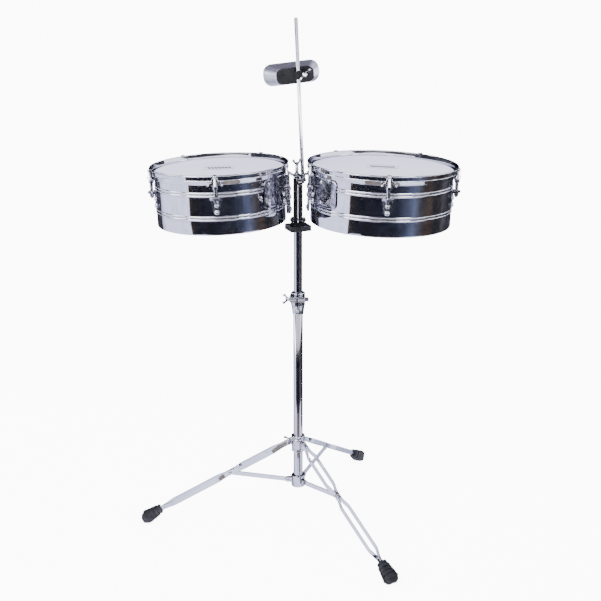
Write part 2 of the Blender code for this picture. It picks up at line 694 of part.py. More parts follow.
def make_cowbell():
    """A lofted shell that widens from its closed crown to its open mouth."""
    work = bmesh.new()
    rings = []
    sections = ((CROWN_SIZE, 0.0150, CROWN_Y), (MOUTH_SIZE, 0.0230, CROWN_Y + BELL_LENGTH))
    for size, corner, height in sections:
        outline = round_rectangle(size, corner, 5)
        rings.append([work.verts.new((x + BELL_SHIFT, y, height)) for x, y in outline])
    crown, mouth = rings
    count = len(crown)
    for i in range(count):
        j = (i + 1) % count
        work.faces.new((crown[i], crown[j], mouth[j], mouth[i]))
    work.faces.new(crown[::-1])
    mesh = bpy.data.meshes.new("cowbell")
    work.to_mesh(mesh)
    work.free()
    bell = bpy.data.objects.new("cowbell", mesh)
    PARTS.objects.link(bell)
    frame = bell_frame()
    bell.matrix_world = frame
    wall = bell.modifiers.new("wall", "SOLIDIFY")
    wall.thickness = BELL_WALL
    wall.offset = -1.0
    wall.use_even_offset = True
    part(bell, "cowbell", CHROME)
    hole_start = frame @ Vector((0, 0, CROWN_Y - 0.0050))
    hole_end = frame @ Vector((0, 0, CROWN_Y + 0.0100))
    cut(bell, rod(hole_start, hole_end, PIN_RADIUS + SLIP, 12))


def make_cowbell_clamp():
    """The block that grips the rod, its wing screw and the pin that holds the bell."""
    frame = bell_frame()
    back = CROWN_Y - 0.0005
    clamp = box((-0.0090, -0.0115, -0.0095), (0.0215, 0.0115, back), frame)
    part(clamp, "cowbell_clamp", BLACK)
    join(clamp, rod(frame @ Vector((0, 0, 0.0100)), frame @ Vector((0, 0, CROWN_Y + 0.0060)), PIN_RADIUS, 12))
    head_low = frame @ Vector((0, 0, CROWN_Y + BELL_WALL + 0.0006))
    join(clamp, rod(head_low, frame @ Vector((0, 0, CROWN_Y + 0.0070)), 0.0055, 6))
    screw_x = 0.0148
    join(clamp, rod(frame @ Vector((screw_x, 0, 0)), frame @ Vector((screw_x, 0, -0.0190)), 0.0048, 12))
    wings = frame @ Matrix.Translation((screw_x, 0, -0.0200)) @ Matrix.Rotation(radians(-38), 4, "Z")
    join(clamp, box((-0.0190, -0.0014, -0.0030), (0.0190, 0.0014, 0.0040), wings))
    along = (ROD_TIP - ROD_FOOT).normalized() * 0.0300
    origin = frame.translation
    cut(clamp, rod(origin - along, origin + along, BELL_ROD_RADIUS + SLIP, 16))


def make_cowbell_rod():
    part(rod(ROD_FOOT, ROD_TIP, BELL_ROD_RADIUS, 16), "cowbell_rod", CHROME)


# ---------------------------------------------------------------- assembly


def main():
    make_base_tube()
    make_upper_tube()
    make_brace_collar()
    make_leg_collar()
    for number, angle in enumerate(LEG_ANGLES, start=1):
        make_leg(number, angle)
        make_foot(number, angle)
        make_brace(number, angle)
    make_height_clamp()
    make_tilter_block()
    make_tilter_posts()
    bolt_tip = BOLT_AXIS + Vector((0, 0, 0.9380))
    bolt_seat = BOLT_AXIS + Vector((0, 0, LEFT_ARM_Z + ARM_THICK + GAP))
    wing_bolt("drum_wing_bolt", bolt_tip, bolt_seat, 0.0130, 0.0300)
    left = Drum("left_drum", LEFT_CENTRE, LEFT_LEAN, LEFT_RADIUS, LEFT_DEPTH, 0.0, LEFT_SADDLE)
    right = Drum("right_drum", RIGHT_CENTRE, RIGHT_LEAN, RIGHT_RADIUS, RIGHT_DEPTH, pi, RIGHT_SADDLE)
    make_drum(left, LEFT_ARM_Z, ARM_FLAT, LEFT_SPINE_DEPTH)
    make_drum(right, RIGHT_ARM_Z, ARM_FLAT, RIGHT_SPINE_DEPTH)
    make_cowbell_rod()
    make_cowbell_clamp()
    make_cowbell()
    for obj in bpy.data.objects:
        obj.location = obj.location + STAND_AXIS


main()
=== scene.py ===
import json
from math import atan2, copysign, cos, pi, radians, sin

import bmesh
import bpy
from mathutils import Matrix, Vector


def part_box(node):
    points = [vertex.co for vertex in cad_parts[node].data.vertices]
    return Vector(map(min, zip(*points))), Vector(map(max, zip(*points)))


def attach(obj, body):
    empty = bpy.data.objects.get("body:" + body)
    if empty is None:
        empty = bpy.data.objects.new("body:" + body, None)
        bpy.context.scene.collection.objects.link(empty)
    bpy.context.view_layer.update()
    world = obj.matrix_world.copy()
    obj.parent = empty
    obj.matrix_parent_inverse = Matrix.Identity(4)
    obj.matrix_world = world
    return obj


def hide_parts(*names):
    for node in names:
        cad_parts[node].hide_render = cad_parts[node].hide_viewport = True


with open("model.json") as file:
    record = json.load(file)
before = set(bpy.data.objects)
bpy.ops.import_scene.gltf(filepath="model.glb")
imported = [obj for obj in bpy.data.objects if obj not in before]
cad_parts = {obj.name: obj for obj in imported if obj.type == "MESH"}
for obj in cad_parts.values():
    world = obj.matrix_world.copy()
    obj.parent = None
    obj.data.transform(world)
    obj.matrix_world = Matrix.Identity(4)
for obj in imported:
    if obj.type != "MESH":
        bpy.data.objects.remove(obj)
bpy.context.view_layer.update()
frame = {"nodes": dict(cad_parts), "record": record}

JOINTS = {joint["name"]: joint for joint in frame["record"]["behaviour"]["joints"]}
STAND = Vector(JOINTS["head_swivel"]["pos_m"])
STAND.z = 0.0
UP = Vector((0.0, 0.0, 1.0))

# ---------------------------------------------------------------- sizes, as in the CAD model

LEFT = {
    "name": "left_drum",
    "radius": 0.1650,
    "centre": Vector((-0.2015, 0.0, 0.9810)),
    "lean": radians(-2.2),
    "inward": 0.0,
    "spine": 0.0140,
    "depth": 0.1460,
    "saddle": radians(42.0),
    "arm": 0.9563,
}
RIGHT = {
    "name": "right_drum",
    "radius": 0.1778,
    "centre": Vector((0.2140, -0.0030, 0.9897)),
    "lean": radians(1.8),
    "inward": pi,
    "spine": 0.0090,
    "depth": 0.1485,
    "saddle": radians(53.0),
    "arm": 0.9525,
}
FIRST_LUG = radians(-85.0)
LUG_COUNT = 5
ROD_OUT = 0.0115
HOOP_OUT = 0.0126
HOOP_RISE = 0.0040
HEAD_TOP = 0.0085
LUG_HALF_ANGLE = radians(6.0)
BOLT_AXIS = Vector((-0.0030, 0.0040, 0.0))
LEG_ANGLES = tuple(radians(angle) for angle in (187.9, 307.9, 67.9))
LEG_PIVOT = Vector((0.0271, 0.2249))
BRACE_PIVOT = Vector((0.0293, 0.1144))
FOOT_END = Vector((0.4077, 0.0200))
MID_JOINT = 0.419
BAR_WIDTH, BAR_THICK = 0.0130, 0.0028
BAR_CLOSED, BAR_BOWED, BAR_AT_FOOT = 0.0043, 0.0115, 0.0018
BOOT_SQUARENESS = 0.62
COLLAR_BORE = 0.0130
CLAMP_SCREW = (-0.0240, 0.6365)
TILT_HEIGHT = 0.8420
POST_HALF = 0.0079
ROD_LENGTH = 0.4064
BELL_SHIFT, BELL_CROWN, BELL_LENGTH, BELL_WALL = -0.0074, 0.0140, 0.1900, 0.0014
WING_HUB, WING_SPAN = 0.0100, 0.0130
SIDES = 144
TUBE_SIDES = 64

CAMERA_PLACE = Vector((0.2180, -2.7999, 1.4730))
CAMERA_TURN = (pi / 2 - 0.2930, 0.0, 0.0754)
CAMERA_LENS, CAMERA_SENSOR = 67.1, 36.0

# ---------------------------------------------------------------- mesh helpers


class Shape:
    """Collects closed forms, in any frames, into one mesh."""

    def __init__(self):
        self.mesh = bmesh.new()

    def _place(self, verts, matrix):
        bmesh.ops.transform(self.mesh, matrix=matrix, verts=verts)

    def lathe(self, profile, matrix, sides=SIDES, closed=True):
        """Turns a profile of (radius, height), which runs down its outer side, round Z."""
        rings = []
        for radius, height in profile:
            if radius < 1e-6:
                rings.append([self.mesh.verts.new((0.0, 0.0, height))])
                continue
            ring = []
            for i in range(sides):
                angle = 2 * pi * i / sides
                ring.append(self.mesh.verts.new((radius * cos(angle), radius * sin(angle), height)))
            rings.append(ring)
        pairs = list(zip(rings, rings[1:]))
        if closed:
            pairs.append((rings[-1], rings[0]))
        for upper, lower in pairs:
            for i in range(sides):
                j = (i + 1) % sides
                corners = [upper[i % len(upper)], lower[i % len(lower)]]
                corners += [lower[j % len(lower)], upper[j % len(upper)]]
                corners = list(dict.fromkeys(corners))
                if len(corners) > 2:
                    self.mesh.faces.new(corners)
        self._place([vert for ring in rings for vert in ring], matrix)
        return self

    def box(self, low, high, matrix=Matrix.Identity(4)):
        low, high = Vector(low), Vector(high)
        verts = bmesh.ops.create_cube(self.mesh, size=1.0)["verts"]
        size = Matrix.Diagonal((*(high - low), 1.0))
        self._place(verts, matrix @ Matrix.Translation((low + high) / 2) @ size)
        return self

    def bar(self, start, end, radius, tip=None, sides=32, matrix=Matrix.Identity(4)):
        """A round bar, or a cone when it has a tip radius."""
        start, end = matrix @ Vector(start), matrix @ Vector(end)
        along = end - start
        made = bmesh.ops.create_cone(
            self.mesh,
            cap_ends=True,
            segments=sides,
            radius1=radius,
            radius2=radius if tip is None else tip,
            depth=along.length,
        )
        turn = along.to_track_quat("Z", "Y").to_matrix().to_4x4()
        self._place(made["verts"], Matrix.Translation((start + end) / 2) @ turn)
        return self

    def ball(self, centre, radius, matrix=Matrix.Identity(4), squash=(1.0, 1.0, 1.0)):
        verts = bmesh.ops.create_uvsphere(self.mesh, u_segments=24, v_segments=14, radius=radius)["verts"]
        size = Matrix.Diagonal((*squash, 1.0))
        self._place(verts, matrix @ Matrix.Translation(centre) @ size)
        return self

    def prism(self, outline, low, high, matrix):
        """An outline in the frame's XY plane, from low to high along its Z."""
        bottom = [self.mesh.verts.new((x, y, low)) for x, y in outline]
        top = [self.mesh.verts.new((x, y, high)) for x, y in outline]
        self.mesh.faces.new(bottom[::-1])
        self.mesh.faces.new(top)
        count = len(outline)
        for i in range(count):
            j = (i + 1) % count
            self.mesh.faces.new((bottom[i], bottom[j], top[j], top[i]))
        self._place(bottom + top, matrix)
        return self

    def strip(self, path, depth, thick, matrix):
        """A flat bar along a path in XY. Depth is its size along Z, thick its size across the path."""
        count = len(path)
        points = [Vector(point) for point in path]
        rows = []
        for i, point in enumerate(points):
            before = points[max(i - 1, 0)]
            after = points[min(i + 1, count - 1)]
            along = (after - before).normalized()
            across = Vector((-along.y, along.x)) * thick / 2
            row = []
            for side, height in ((-1, -1), (1, -1), (1, 1), (-1, 1)):
                spot = point + across * side
                row.append(self.mesh.verts.new((spot.x, spot.y, height * depth / 2)))
            rows.append(row)
        self.loft(rows)
        self._place([vert for row in rows for vert in row], matrix)
        return self

    def loft(self, rings):
        """Joins rings of vertices into one skin and closes its two ends."""
        for near, far in zip(rings, rings[1:]):
            for i in range(len(near)):
                j = (i + 1) % len(near)
                self.mesh.faces.new((near[i], near[j], far[j], far[i]))
        self.mesh.faces.new(rings[0][::-1])
        self.mesh.faces.new(rings[-1])

    def finish(self, name, material, body, replaced=(), slot="chrome", bevel=0.0, sharp=32.0, even=False):
        """Makes the piece, rounds its edges and sets what it rides on."""
        bmesh.ops.recalc_face_normals(self.mesh, faces=self.mesh.faces)
        data = bpy.data.meshes.new(name)
        self.mesh.to_mesh(data)
        self.mesh.free()
        data.shade_smooth()
        data.set_sharp_from_angle(angle=radians(sharp))
        piece = bpy.data.objects.new(name, data)
        bpy.context.scene.collection.objects.link(piece)
        data.materials.append(material)
        if bevel:
            rounding = piece.modifiers.new("rounded edges", "BEVEL")
            rounding.width = bevel
            rounding.segments = 3
            rounding.limit_method = "ANGLE"
            rounding.angle_limit = radians(sharp)
            rounding.harden_normals = True
        if even:
            weights = piece.modifiers.new("flat bands", "WEIGHTED_NORMAL")
            weights.keep_sharp = True
            weights.weight = 80
        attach(piece, body)
        if replaced:
            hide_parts(*replaced)
        return piece


def arc(centre, radius, start, end, steps):
    """Points along a round stretch, both ends included. Angles are in radians."""
    angles = [start + (end - start) * i / steps for i in range(steps + 1)]
    return [(centre[0] + radius * cos(a), centre[1] + radius * sin(a)) for a in angles]


def frame_from(x_axis, y_axis, z_axis, origin):
    matrix = Matrix((x_axis, y_axis, z_axis)).transposed().to_4x4()
    matrix.translation = origin
    return matrix


def smooth_path(points, cut, steps=5):
    """Rounds the corners of a path in XY: each becomes a short curve."""
    points = [Vector(point) for point in points]
    path = [points[0]]
    for before, corner, after in zip(points, points[1:], points[2:]):
        start = corner + (before - corner).normalized() * min(cut, (before - corner).length / 2)
        end = corner + (after - corner).normalized() * min(cut, (after - corner).length / 2)
        for i in range(steps + 1):
            share = i / steps
            path.append(start.lerp(corner, share).lerp(corner.lerp(end, share), share))
    path.append(points[-1])
    return path


def stand(matrix):
    """A frame given round the pole, moved to where the pole stands."""
    return Matrix.Translation(STAND) @ matrix


def front_view(origin=(0.0, 0.0, 0.0)):
    """A frame for outlines drawn as seen from the front: X to the right, Y up."""
    return frame_from(Vector((1, 0, 0)), UP, Vector((0, -1, 0)), Vector(origin))


def side_view(origin=(0.0, 0.0, 0.0)):
    """A frame for outlines drawn as seen from the side: X to the back, Y up."""
    return frame_from(Vector((0, 1, 0)), UP, Vector((1, 0, 0)), Vector(origin))


HERE = stand(Matrix.Identity(4))


# ---------------------------------------------------------------- materials


class Nodes:
    """A Principled material with small helpers for its procedural inputs."""

    def __init__(self, name, color, roughness, metallic):
        self.material = bpy.data.materials.new(name)
        self.material.use_nodes = True
        self.tree = self.material.node_tree
        self.shader = self.tree.nodes["Principled BSDF"]
        self.shader.inputs["Base Color"].default_value = (*color, 1.0)
        self.shader.inputs["Roughness"].default_value = roughness
        self.shader.inputs["Metallic"].default_value = metallic
        self.place = self.add("ShaderNodeTexCoord").outputs["Object"]

    def add(self, kind, **settings):
        node = self.tree.nodes.new(kind)
        for key, value in settings.items():
            setattr(node, key, value)
        return node

    def link(self, source, target):
        self.tree.links.new(source, target)

    def noise(self, scale, detail=3.0, stretch=(1.0, 1.0, 1.0)):
        mapping = self.add("ShaderNodeMapping")
        mapping.inputs["Scale"].default_value = stretch
        self.link(self.place, mapping.inputs["Vector"])
        noise = self.add("ShaderNodeTexNoise")
        noise.inputs["Scale"].default_value = scale
        noise.inputs["Detail"].default_value = detail
        self.link(mapping.outputs["Vector"], noise.inputs["Vector"])
        return noise.outputs["Fac"]

    def ramp(self, source, stops):
        """Maps a value to colours. Each stop is (place, colour)."""
        ramp = self.add("ShaderNodeValToRGB")
        elements = ramp.color_ramp.elements
        while len(elements) < len(stops):
            elements.new(0.5)
        for element, (place, color) in zip(elements, stops):
            element.position = place
            element.color = (*color, 1.0)
        self.link(source, ramp.inputs["Fac"])
        return ramp.outputs["Color"]

    def turned_away(self, stops):
        """Colours by how far the surface turns away from the eye: 0 faces it, 1 is edge on. It paints shade
        and reflection into a colour.
        """
        weight = self.add("ShaderNodeLayerWeight")
        weight.inputs["Blend"].default_value = 0.5
        return self.ramp(weight.outputs["Facing"], stops)

    def times(self, first, second):
        """Multiplies two colours."""
        mix = self.add("ShaderNodeMix", data_type="RGBA", blend_type="MULTIPLY")
        mix.inputs["Factor"].default_value = 1.0
        colors = [socket for socket in mix.inputs if socket.type == "RGBA"]
        self.link(first, colors[0])
        self.link(second, colors[1])
        return [socket for socket in mix.outputs if socket.type == "RGBA"][0]

    def spread(self, source, low, high):
        """Maps a 0 to 1 value onto a range."""
        node = self.add("ShaderNodeMapRange")
        node.inputs["To Min"].default_value = low
        node.inputs["To Max"].default_value = high
        self.link(source, node.inputs["Value"])
        return node.outputs["Result"]

    def bump(self, source, strength, distance):
        bump = self.add("ShaderNodeBump")
        bump.inputs["Strength"].default_value = strength
        bump.inputs["Distance"].default_value = distance
        self.link(source, bump.inputs["Height"])
        self.link(bump.outputs["Normal"], self.shader.inputs["Normal"])

    def into(self, source, socket):
        self.link(source, self.shader.inputs[socket])


def surface(name, first, pattern, tones, rough=None, relief=None, edges=None, specular=None):
    """A material whose colour and roughness wander with noise. Its colour may carry painted shade, darker as
    the surface turns from the eye.

    first is its plain colour, roughness and metallic. pattern and relief start with the scale and
    detail of a noise, and a relief of None as its first value reuses the pattern's noise.
    """
    nodes = Nodes(name, *first)
    if specular is not None:
        nodes.shader.inputs["Specular IOR Level"].default_value = specular
    grain = nodes.noise(*pattern)
    plate = nodes.ramp(grain, tones)
    # Painted shade: the colour is darkened by how far the surface turns from the eye.
    if edges:
        plate = nodes.times(plate, nodes.turned_away(edges))
    nodes.into(plate, "Base Color")
    if rough:
        scale, detail, low, high = rough
        nodes.into(nodes.spread(nodes.noise(scale, detail), low, high), "Roughness")
    if relief:
        own, strength, distance = relief
        nodes.bump(nodes.noise(*own) if own else grain, strength, distance)
    return nodes.material


# Painted shade and reflection: each table scales the colour by how far the surface turns from the eye, so
# the dark edges and the bands are painted into the metal's colour, not lit. Each stop is (turn, factor of
# the colour).
# Painted shade on the mirror plating: its edges darken as they turn from the eye.
CHROME_PAINTED_EDGE_SHADE = (
    (0.0, (1.0, 1.0, 1.0)),
    (0.54, (0.96, 0.96, 0.98)),
    (0.66, (0.30, 0.31, 0.36)),
    (1.0, (0.26, 0.27, 0.32)),
)
# Painted shade on the plated castings: their edges darken as they turn from the eye.
CAST_PAINTED_EDGE_SHADE = (
    (0.0, (1.0, 1.0, 1.0)),
    (0.35, (0.86, 0.86, 0.88)),
    (0.52, (0.32, 0.32, 0.36)),
    (1.0, (0.24, 0.24, 0.28)),
)
# Painted reflection on the tubes: a warm grey centre, a bright band, dark sides and a lighter rim.
TUBE_PAINTED_REFLECTION = (
    (0.0, (0.52, 0.47, 0.45)),
    (0.06, (0.60, 0.56, 0.54)),
    (0.16, (0.90, 0.90, 0.94)),
    (0.34, (0.80, 0.79, 0.84)),
    (0.46, (0.22, 0.22, 0.25)),
    (0.66, (0.20, 0.20, 0.23)),
    (0.80, (0.66, 0.66, 0.70)),
)
# Painted shading on round bars: light where they face the eye, dark at their sides.
ROD_PAINTED_SHADING = (
    (0.0, (0.74, 0.74, 0.78)),
    (0.30, (0.62, 0.62, 0.66)),
    (0.50, (0.30, 0.30, 0.34)),
    (1.0, (0.22, 0.22, 0.26)),
)

# Mirror plating with a faint cloudiness and very slight waves in the metal, and painted shade that darkens
# its edges.
CHROME = surface(
    "mirror_chrome",
    ((0.80, 0.80, 0.84), 0.04, 1.0),
    (9.0, 4.0),
    [(0.3, (0.76, 0.76, 0.80)), (0.7, (0.84, 0.84, 0.88))],
    (34.0, 5.0, 0.025, 0.085),
    ((5.0, 1.0), 0.20, 0.0006),
    CHROME_PAINTED_EDGE_SHADE,
)
# Plated castings and forgings: a little softer and more uneven than the sheet metal, with painted shade on
# their edges.
CAST = surface(
    "cast_chrome",
    ((0.72, 0.72, 0.76), 0.12, 1.0),
    (60.0, 4.0),
    [(0.3, (0.60, 0.60, 0.64)), (0.7, (0.78, 0.78, 0.82))],
    (150.0, 4.0, 0.07, 0.20),
    ((90.0, 2.0), 0.06, 0.0003),
    CAST_PAINTED_EDGE_SHADE,
)
# Drawn tube: mirror plating with fine draw lines along its length, and painted reflection bands across it.
TUBE = surface(
    "tube_chrome",
    ((0.78, 0.77, 0.80), 0.06, 1.0),
    (420.0, 2.0, (1.0, 1.0, 0.01)),
    [(0.3, (0.76, 0.75, 0.78)), (0.7, (0.88, 0.87, 0.92))],
    (30.0, 4.0, 0.04, 0.12),
    (None, 0.06, 0.0002),
    TUBE_PAINTED_REFLECTION,
)
# Plated round bar with a short grain from its clamp, and painted shading across it.
ROD = surface(
    "bar_chrome",
    ((0.60, 0.60, 0.64), 0.14, 1.0),
    (260.0, 3.0, (1.0, 1.0, 0.35)),
    [(0.3, (0.62, 0.62, 0.66)), (0.7, (0.86, 0.86, 0.90))],
    (90.0, 3.0, 0.08, 0.20),
    (None, 0.05, 0.0002),
    ROD_PAINTED_SHADING,
)
# The plated castings of the lugs and the saddle plates, coloured much darker than the other plating: a
# painted dark reflection.
PAINTED_DARK_LUG_CHROME = surface(
    "lug_chrome_painted_dark",
    ((0.30, 0.30, 0.34), 0.12, 1.0),
    (110.0, 4.0),
    [(0.35, (0.16, 0.16, 0.20)), (0.62, (0.52, 0.52, 0.58))],
    (150.0, 4.0, 0.07, 0.20),
)
# Plated bell sheet, brushed lightly across.
BELL = surface(
    "bell_chrome",
    ((0.60, 0.60, 0.76), 0.16, 1.0),
    (260.0, 3.0, (0.05, 1.0, 1.0)),
    [(0.3, (0.46, 0.46, 0.58)), (0.7, (0.56, 0.56, 0.70))],
    (40.0, 4.0, 0.38, 0.50),
    (None, 0.10, 0.0003),
)
# Coated drum film: a fine sprayed grain, slightly clouded, cool white.
FILM = surface(
    "coated_film",
    ((0.80, 0.80, 0.87), 0.60, 0.0),
    (6.0, 4.0),
    [(0.3, (0.79, 0.79, 0.94)), (0.7, (0.85, 0.85, 0.98))],
    (160.0, 3.0, 0.45, 0.70),
    ((900.0, 4.0), 0.35, 0.0004),
)
# Satin black powder coat with a fine orange peel.
BLACK = surface(
    "black_coat",
    ((0.006, 0.006, 0.008), 0.35, 0.0),
    (40.0, 3.0),
    [(0.3, (0.003, 0.003, 0.004)), (0.7, (0.008, 0.008, 0.010))],
    (90.0, 3.0, 0.28, 0.46),
    ((500.0, 2.0), 0.25, 0.0004),
    specular=0.12,
)
# Moulded black rubber, dusty in patches.
RUBBER = surface(
    "moulded_rubber",
    ((0.008, 0.008, 0.010), 0.70, 0.0),
    (45.0, 5.0),
    [(0.35, (0.004, 0.004, 0.006)), (0.8, (0.018, 0.018, 0.024))],
    (120.0, 3.0, 0.52, 0.82),
    ((700.0, 3.0), 0.40, 0.0005),
    specular=0.30,
)
# Faded grey printing ink.
INK = surface(
    "grey_ink",
    ((0.20, 0.20, 0.24), 0.7, 0.0),
    (300.0,),
    [(0.3, (0.01, 0.01, 0.015)), (0.7, (0.05, 0.05, 0.06))],
)

# ---------------------------------------------------------------- drums


def drum_frame(drum):
    return stand(Matrix.Translation(drum["centre"]) @ Matrix.Rotation(drum["lean"], 4, "Y"))


def lug_angle(number):
    return FIRST_LUG + 2 * pi * (number - 1) / LUG_COUNT


def lug_frame(drum, number):
    return drum_frame(drum) @ Matrix.Rotation(lug_angle(number), 4, "Z")


def on_saddle(drum, number):
    away = abs((lug_angle(number) - drum["inward"] + pi) % (2 * pi) - pi)
    return away < drum["saddle"] + LUG_HALF_ANGLE


def make_shell(drum):
    """A thin metal shell with two pairs of rolled ridges and a turned-in lower edge."""
    radius = drum["radius"]
    ridge = 0.0031
    depth = drum["depth"]
    outer = [(radius, -0.0110)]
    for height in (0.0450, 0.1040):
        for offset in (-0.0036, 0.0036):
            centre = (radius - 0.0014, -height - offset)
            outer += arc(centre, ridge, radians(62), radians(-62), 8)
    outer += [(radius, 0.0030 - depth), (radius - 0.0006, 0.0008 - depth), (radius - 0.0020, -depth)]
    inner = [(max(r, radius - 0.0010) - 0.0015, z) for r, z in outer[-3::-1]]
    profile = outer + [(radius - 0.0052, 0.0010 - depth), (radius - 0.0048, 0.0025 - depth)] + inner
    shape = Shape().lathe(profile, drum_frame(drum))
    shape.finish(f"{drum['name']}_shell_visual", CHROME, drum["name"], [f"{drum['name']}_shell"], sharp=40)


def make_hoop(drum):
    """A formed counterhoop: rolled top edge, upright band, and a skirt that draws in below."""
    outer = drum["radius"] + HOOP_OUT
    rim = (outer - 0.0020, HOOP_RISE - 0.0019)
    profile = arc(rim, 0.0019, radians(165), radians(-60), 12)
    profile += [(outer - 0.0016, HOOP_RISE - 0.0040), (outer - 0.0016, -0.0074)]
    profile += arc((outer - 0.0014, -0.0092), 0.0014, radians(60), radians(-20), 5)
    profile += [(outer - 0.0010, -0.0112), (outer - 0.0036, -0.0180)]
    profile += arc((outer - 0.0052, -0.0185), 0.0015, radians(10), radians(-170), 8)
    profile += [(outer - 0.0060, -0.0168), (outer - 0.0062, -0.0090), (outer - 0.0054, -0.0040)]
    profile += [(outer - 0.0040, HOOP_RISE - 0.0030)]
    shape = Shape().lathe(profile, drum_frame(drum))
    name = f"{drum['name']}_hoop"
    shape.finish(name + "_visual", CHROME, drum["name"], [name], sharp=50, even=True)


def make_head(drum):
    """The film, its rounded collar over the shell's edge, and the metal ring that grips it."""
    radius = drum["radius"]
    top = -HEAD_TOP - 0.0001
    profile = [(0.0, top)]
    profile += [(radius * i / 12, top) for i in range(1, 12)]
    profile += arc((radius - 0.0022, top - 0.0022), 0.0022, radians(90), radians(5), 6)
    profile += [(radius + 0.0012, top - 0.0060), (radius + 0.0010, top - 0.0064)]
    profile += [(radius + 0.0002, top - 0.0056)]
    profile += arc((radius - 0.0022, top - 0.0022), 0.0018, radians(5), radians(90), 6)
    profile += [(0.0, top - 0.0004)]
    shape = Shape().lathe(profile, drum_frame(drum), closed=False)
    shape.finish(f"{drum['name']}_film", FILM, drum["name"], [f"{drum['name']}_head"], "drum_film", sharp=50)
    ring = [(radius + 0.0076, -0.0110), (radius + 0.0078, -0.0182)]
    ring += [(radius + 0.0014, -0.0184), (radius + 0.0016, -0.0128), (radius + 0.0030, -0.0108)]
    shape = Shape().lathe(ring, drum_frame(drum), 96)
    shape.finish(f"{drum['name']}_flesh_ring", CAST, drum["name"], bevel=0.0006)
    make_head_mark(drum)


def make_head_mark(drum):
    """A thin grey mark near the middle of the head: a broken oval round a plain wavy line."""
    width, depth = 0.0430, 0.0260
    line, lift = 0.0021, 0.00003
    middle = drum_frame(drum) @ Matrix.Translation((0.0, 0.0060, lift - HEAD_TOP))
    shape = Shape()
    for start, end in ((0.10, 0.90), (1.10, 1.90)):
        points = arc((0.0, 0.0), 1.0, start * pi, end * pi, 28)
        shape.strip([(x * width, y * depth) for x, y in points], 0.00006, line, middle)
    wave = [(-0.0310 + 0.0010 * i, 0.0110 * sin(i * 0.70)) for i in range(63)]
    shape.strip(wave, 0.00006, line * 1.7, middle)
    shape.finish(f"{drum['name']}_head_mark", INK, drum["name"], slot="black_paint")


def make_lug(drum, number):
    """A cast lug: a round-nosed shelf, a tapered foot and two dome bolts."""
    local = lug_frame(drum, number)
    lift = 0.0036 if on_saddle(drum, number) else 0.0
    back = drum["radius"] + lift + 0.0004
    axis = drum["radius"] + ROD_OUT
    name = f"{drum['name']}_lug_{number}"
    shape = Shape()
    facing = side_view((back, 0, 0))
    foot = [(-0.0148, -0.0505), (-0.0148, -0.0552)]
    foot += [(-0.0120, -0.0620), (-0.0098, -0.0740), (-0.0086, -0.0850)]
    foot += arc((0.0, -0.0868), 0.0080, pi, 2 * pi, 12)
    foot += [(0.0086, -0.0850), (0.0098, -0.0740), (0.0120, -0.0620)]
    foot += [(0.0148, -0.0552), (0.0148, -0.0505)]
    shape.prism(foot[::-1], 0.0, 0.0026, local @ facing)
    nose = [(back + 0.0006, -0.0150), (axis, -0.0150)]
    nose += arc((axis, 0.0), 0.0104, radians(-62), radians(62), 14)
    nose += [(axis, 0.0150), (back + 0.0006, 0.0150)]
    shape.prism(nose, -0.0556, -0.0502, local)
    # The lug's dark colour is a painted reflection.
    shape.finish(name + "_casting", PAINTED_DARK_LUG_CHROME, drum["name"], [name], "chrome", bevel=0.0007)
    bolts = Shape()
    for height, size in ((-0.0705, 0.0058), (-0.0876, 0.0060)):
        spot = Vector((back + 0.0024, 0.0, height))
        bolts.bar(spot, spot + Vector((0.0012, 0, 0)), size + 0.0010, size + 0.0006, matrix=local)
        bolts.ball(spot + Vector((0.0010, 0, 0)), size, local, (0.62, 1.0, 1.0))
    bolts.finish(name + "_bolts", CHROME, drum["name"], slot="chrome")


def make_claw(drum, number):
    """A hook over the hoop: a saddle with two spreading ears, a rib and a ball on top."""
    local = lug_frame(drum, number)
    name = f"{drum['name']}_claw_{number}"
    face = drum["radius"] + HOOP_OUT + 0.0004
    axis = drum["radius"] + ROD_OUT
    outline = [(0.0, 0.0010)]
    outline += [(-0.0042, 0.0004), (-0.0062, -0.0020), (-0.0070, -0.0070), (-0.0108, -0.0122)]
    outline += [(-0.0168, -0.0158), (-0.0190, -0.0186), (-0.0180, -0.0212), (-0.0140, -0.0208)]
    outline += [(-0.0092, -0.0180), (-0.0068, -0.0200), (-0.0062, -0.0240)]
    outline += [(-x, z) for x, z in outline[:0:-1]]
    across = face * 0.985
    count = len(outline)
    rows = []
    shape = Shape()
    mesh = shape.mesh
    for depth in (0.0002, 0.0034):
        ring = []
        for x, z in outline:
            angle = x / across
            ring.append(mesh.verts.new(((face + depth) * cos(angle), (face + depth) * sin(angle), z)))
        rows.append(ring)
    inner, outer = rows
    mesh.faces.new(inner)
    mesh.faces.new(outer[::-1])
    for i in range(count):
        j = (i + 1) % count
        mesh.faces.new((inner[i], outer[i], outer[j], inner[j]))
    bmesh.ops.transform(mesh, matrix=local, verts=mesh.verts)
    lip = [(face - 0.0060, -0.0046), (face + 0.0024, -0.0056), (face + 0.0024, 0.0056)]
    lip += [(face - 0.0060, 0.0046)]
    shape.prism(lip, HOOP_RISE + 0.0001, HOOP_RISE + 0.0016, local)
    shape.box((face - 0.0002, -0.0040, -0.0010), (face + 0.0024, 0.0040, HOOP_RISE + 0.0014), local)
    shape.box((drum["radius"] + 0.0048, -0.0074, -0.0250), (face + 0.0030, 0.0074, -0.0206), local)
    shape.finish(name + "_casting", CAST, drum["name"], [name], bevel=0.0009, sharp=28)
    trim = Shape()
    trim.bar((axis, 0, -0.0300), (axis, 0, -0.0220), 0.0062, 0.0068, matrix=local)
    trim.bar((face + 0.0030, 0, -0.0215), (face + 0.0022, 0, -0.0020), 0.0038, 0.0026, matrix=local)
    trim.ball(Vector((face + 0.0022, 0, 0.0014)), 0.0044, local, (0.9, 1.0, 1.0))
    for turn in (-1, 1):
        angle = turn * 0.0164 / across
        spot = Vector(((face + 0.0034) * cos(angle), (face + 0.0034) * sin(angle), -0.0186))
        trim.ball(spot, 0.0030, local, (0.8, 1.0, 1.0))
    trim.finish(name + "_trim", CHROME, drum["name"], bevel=0.0004)


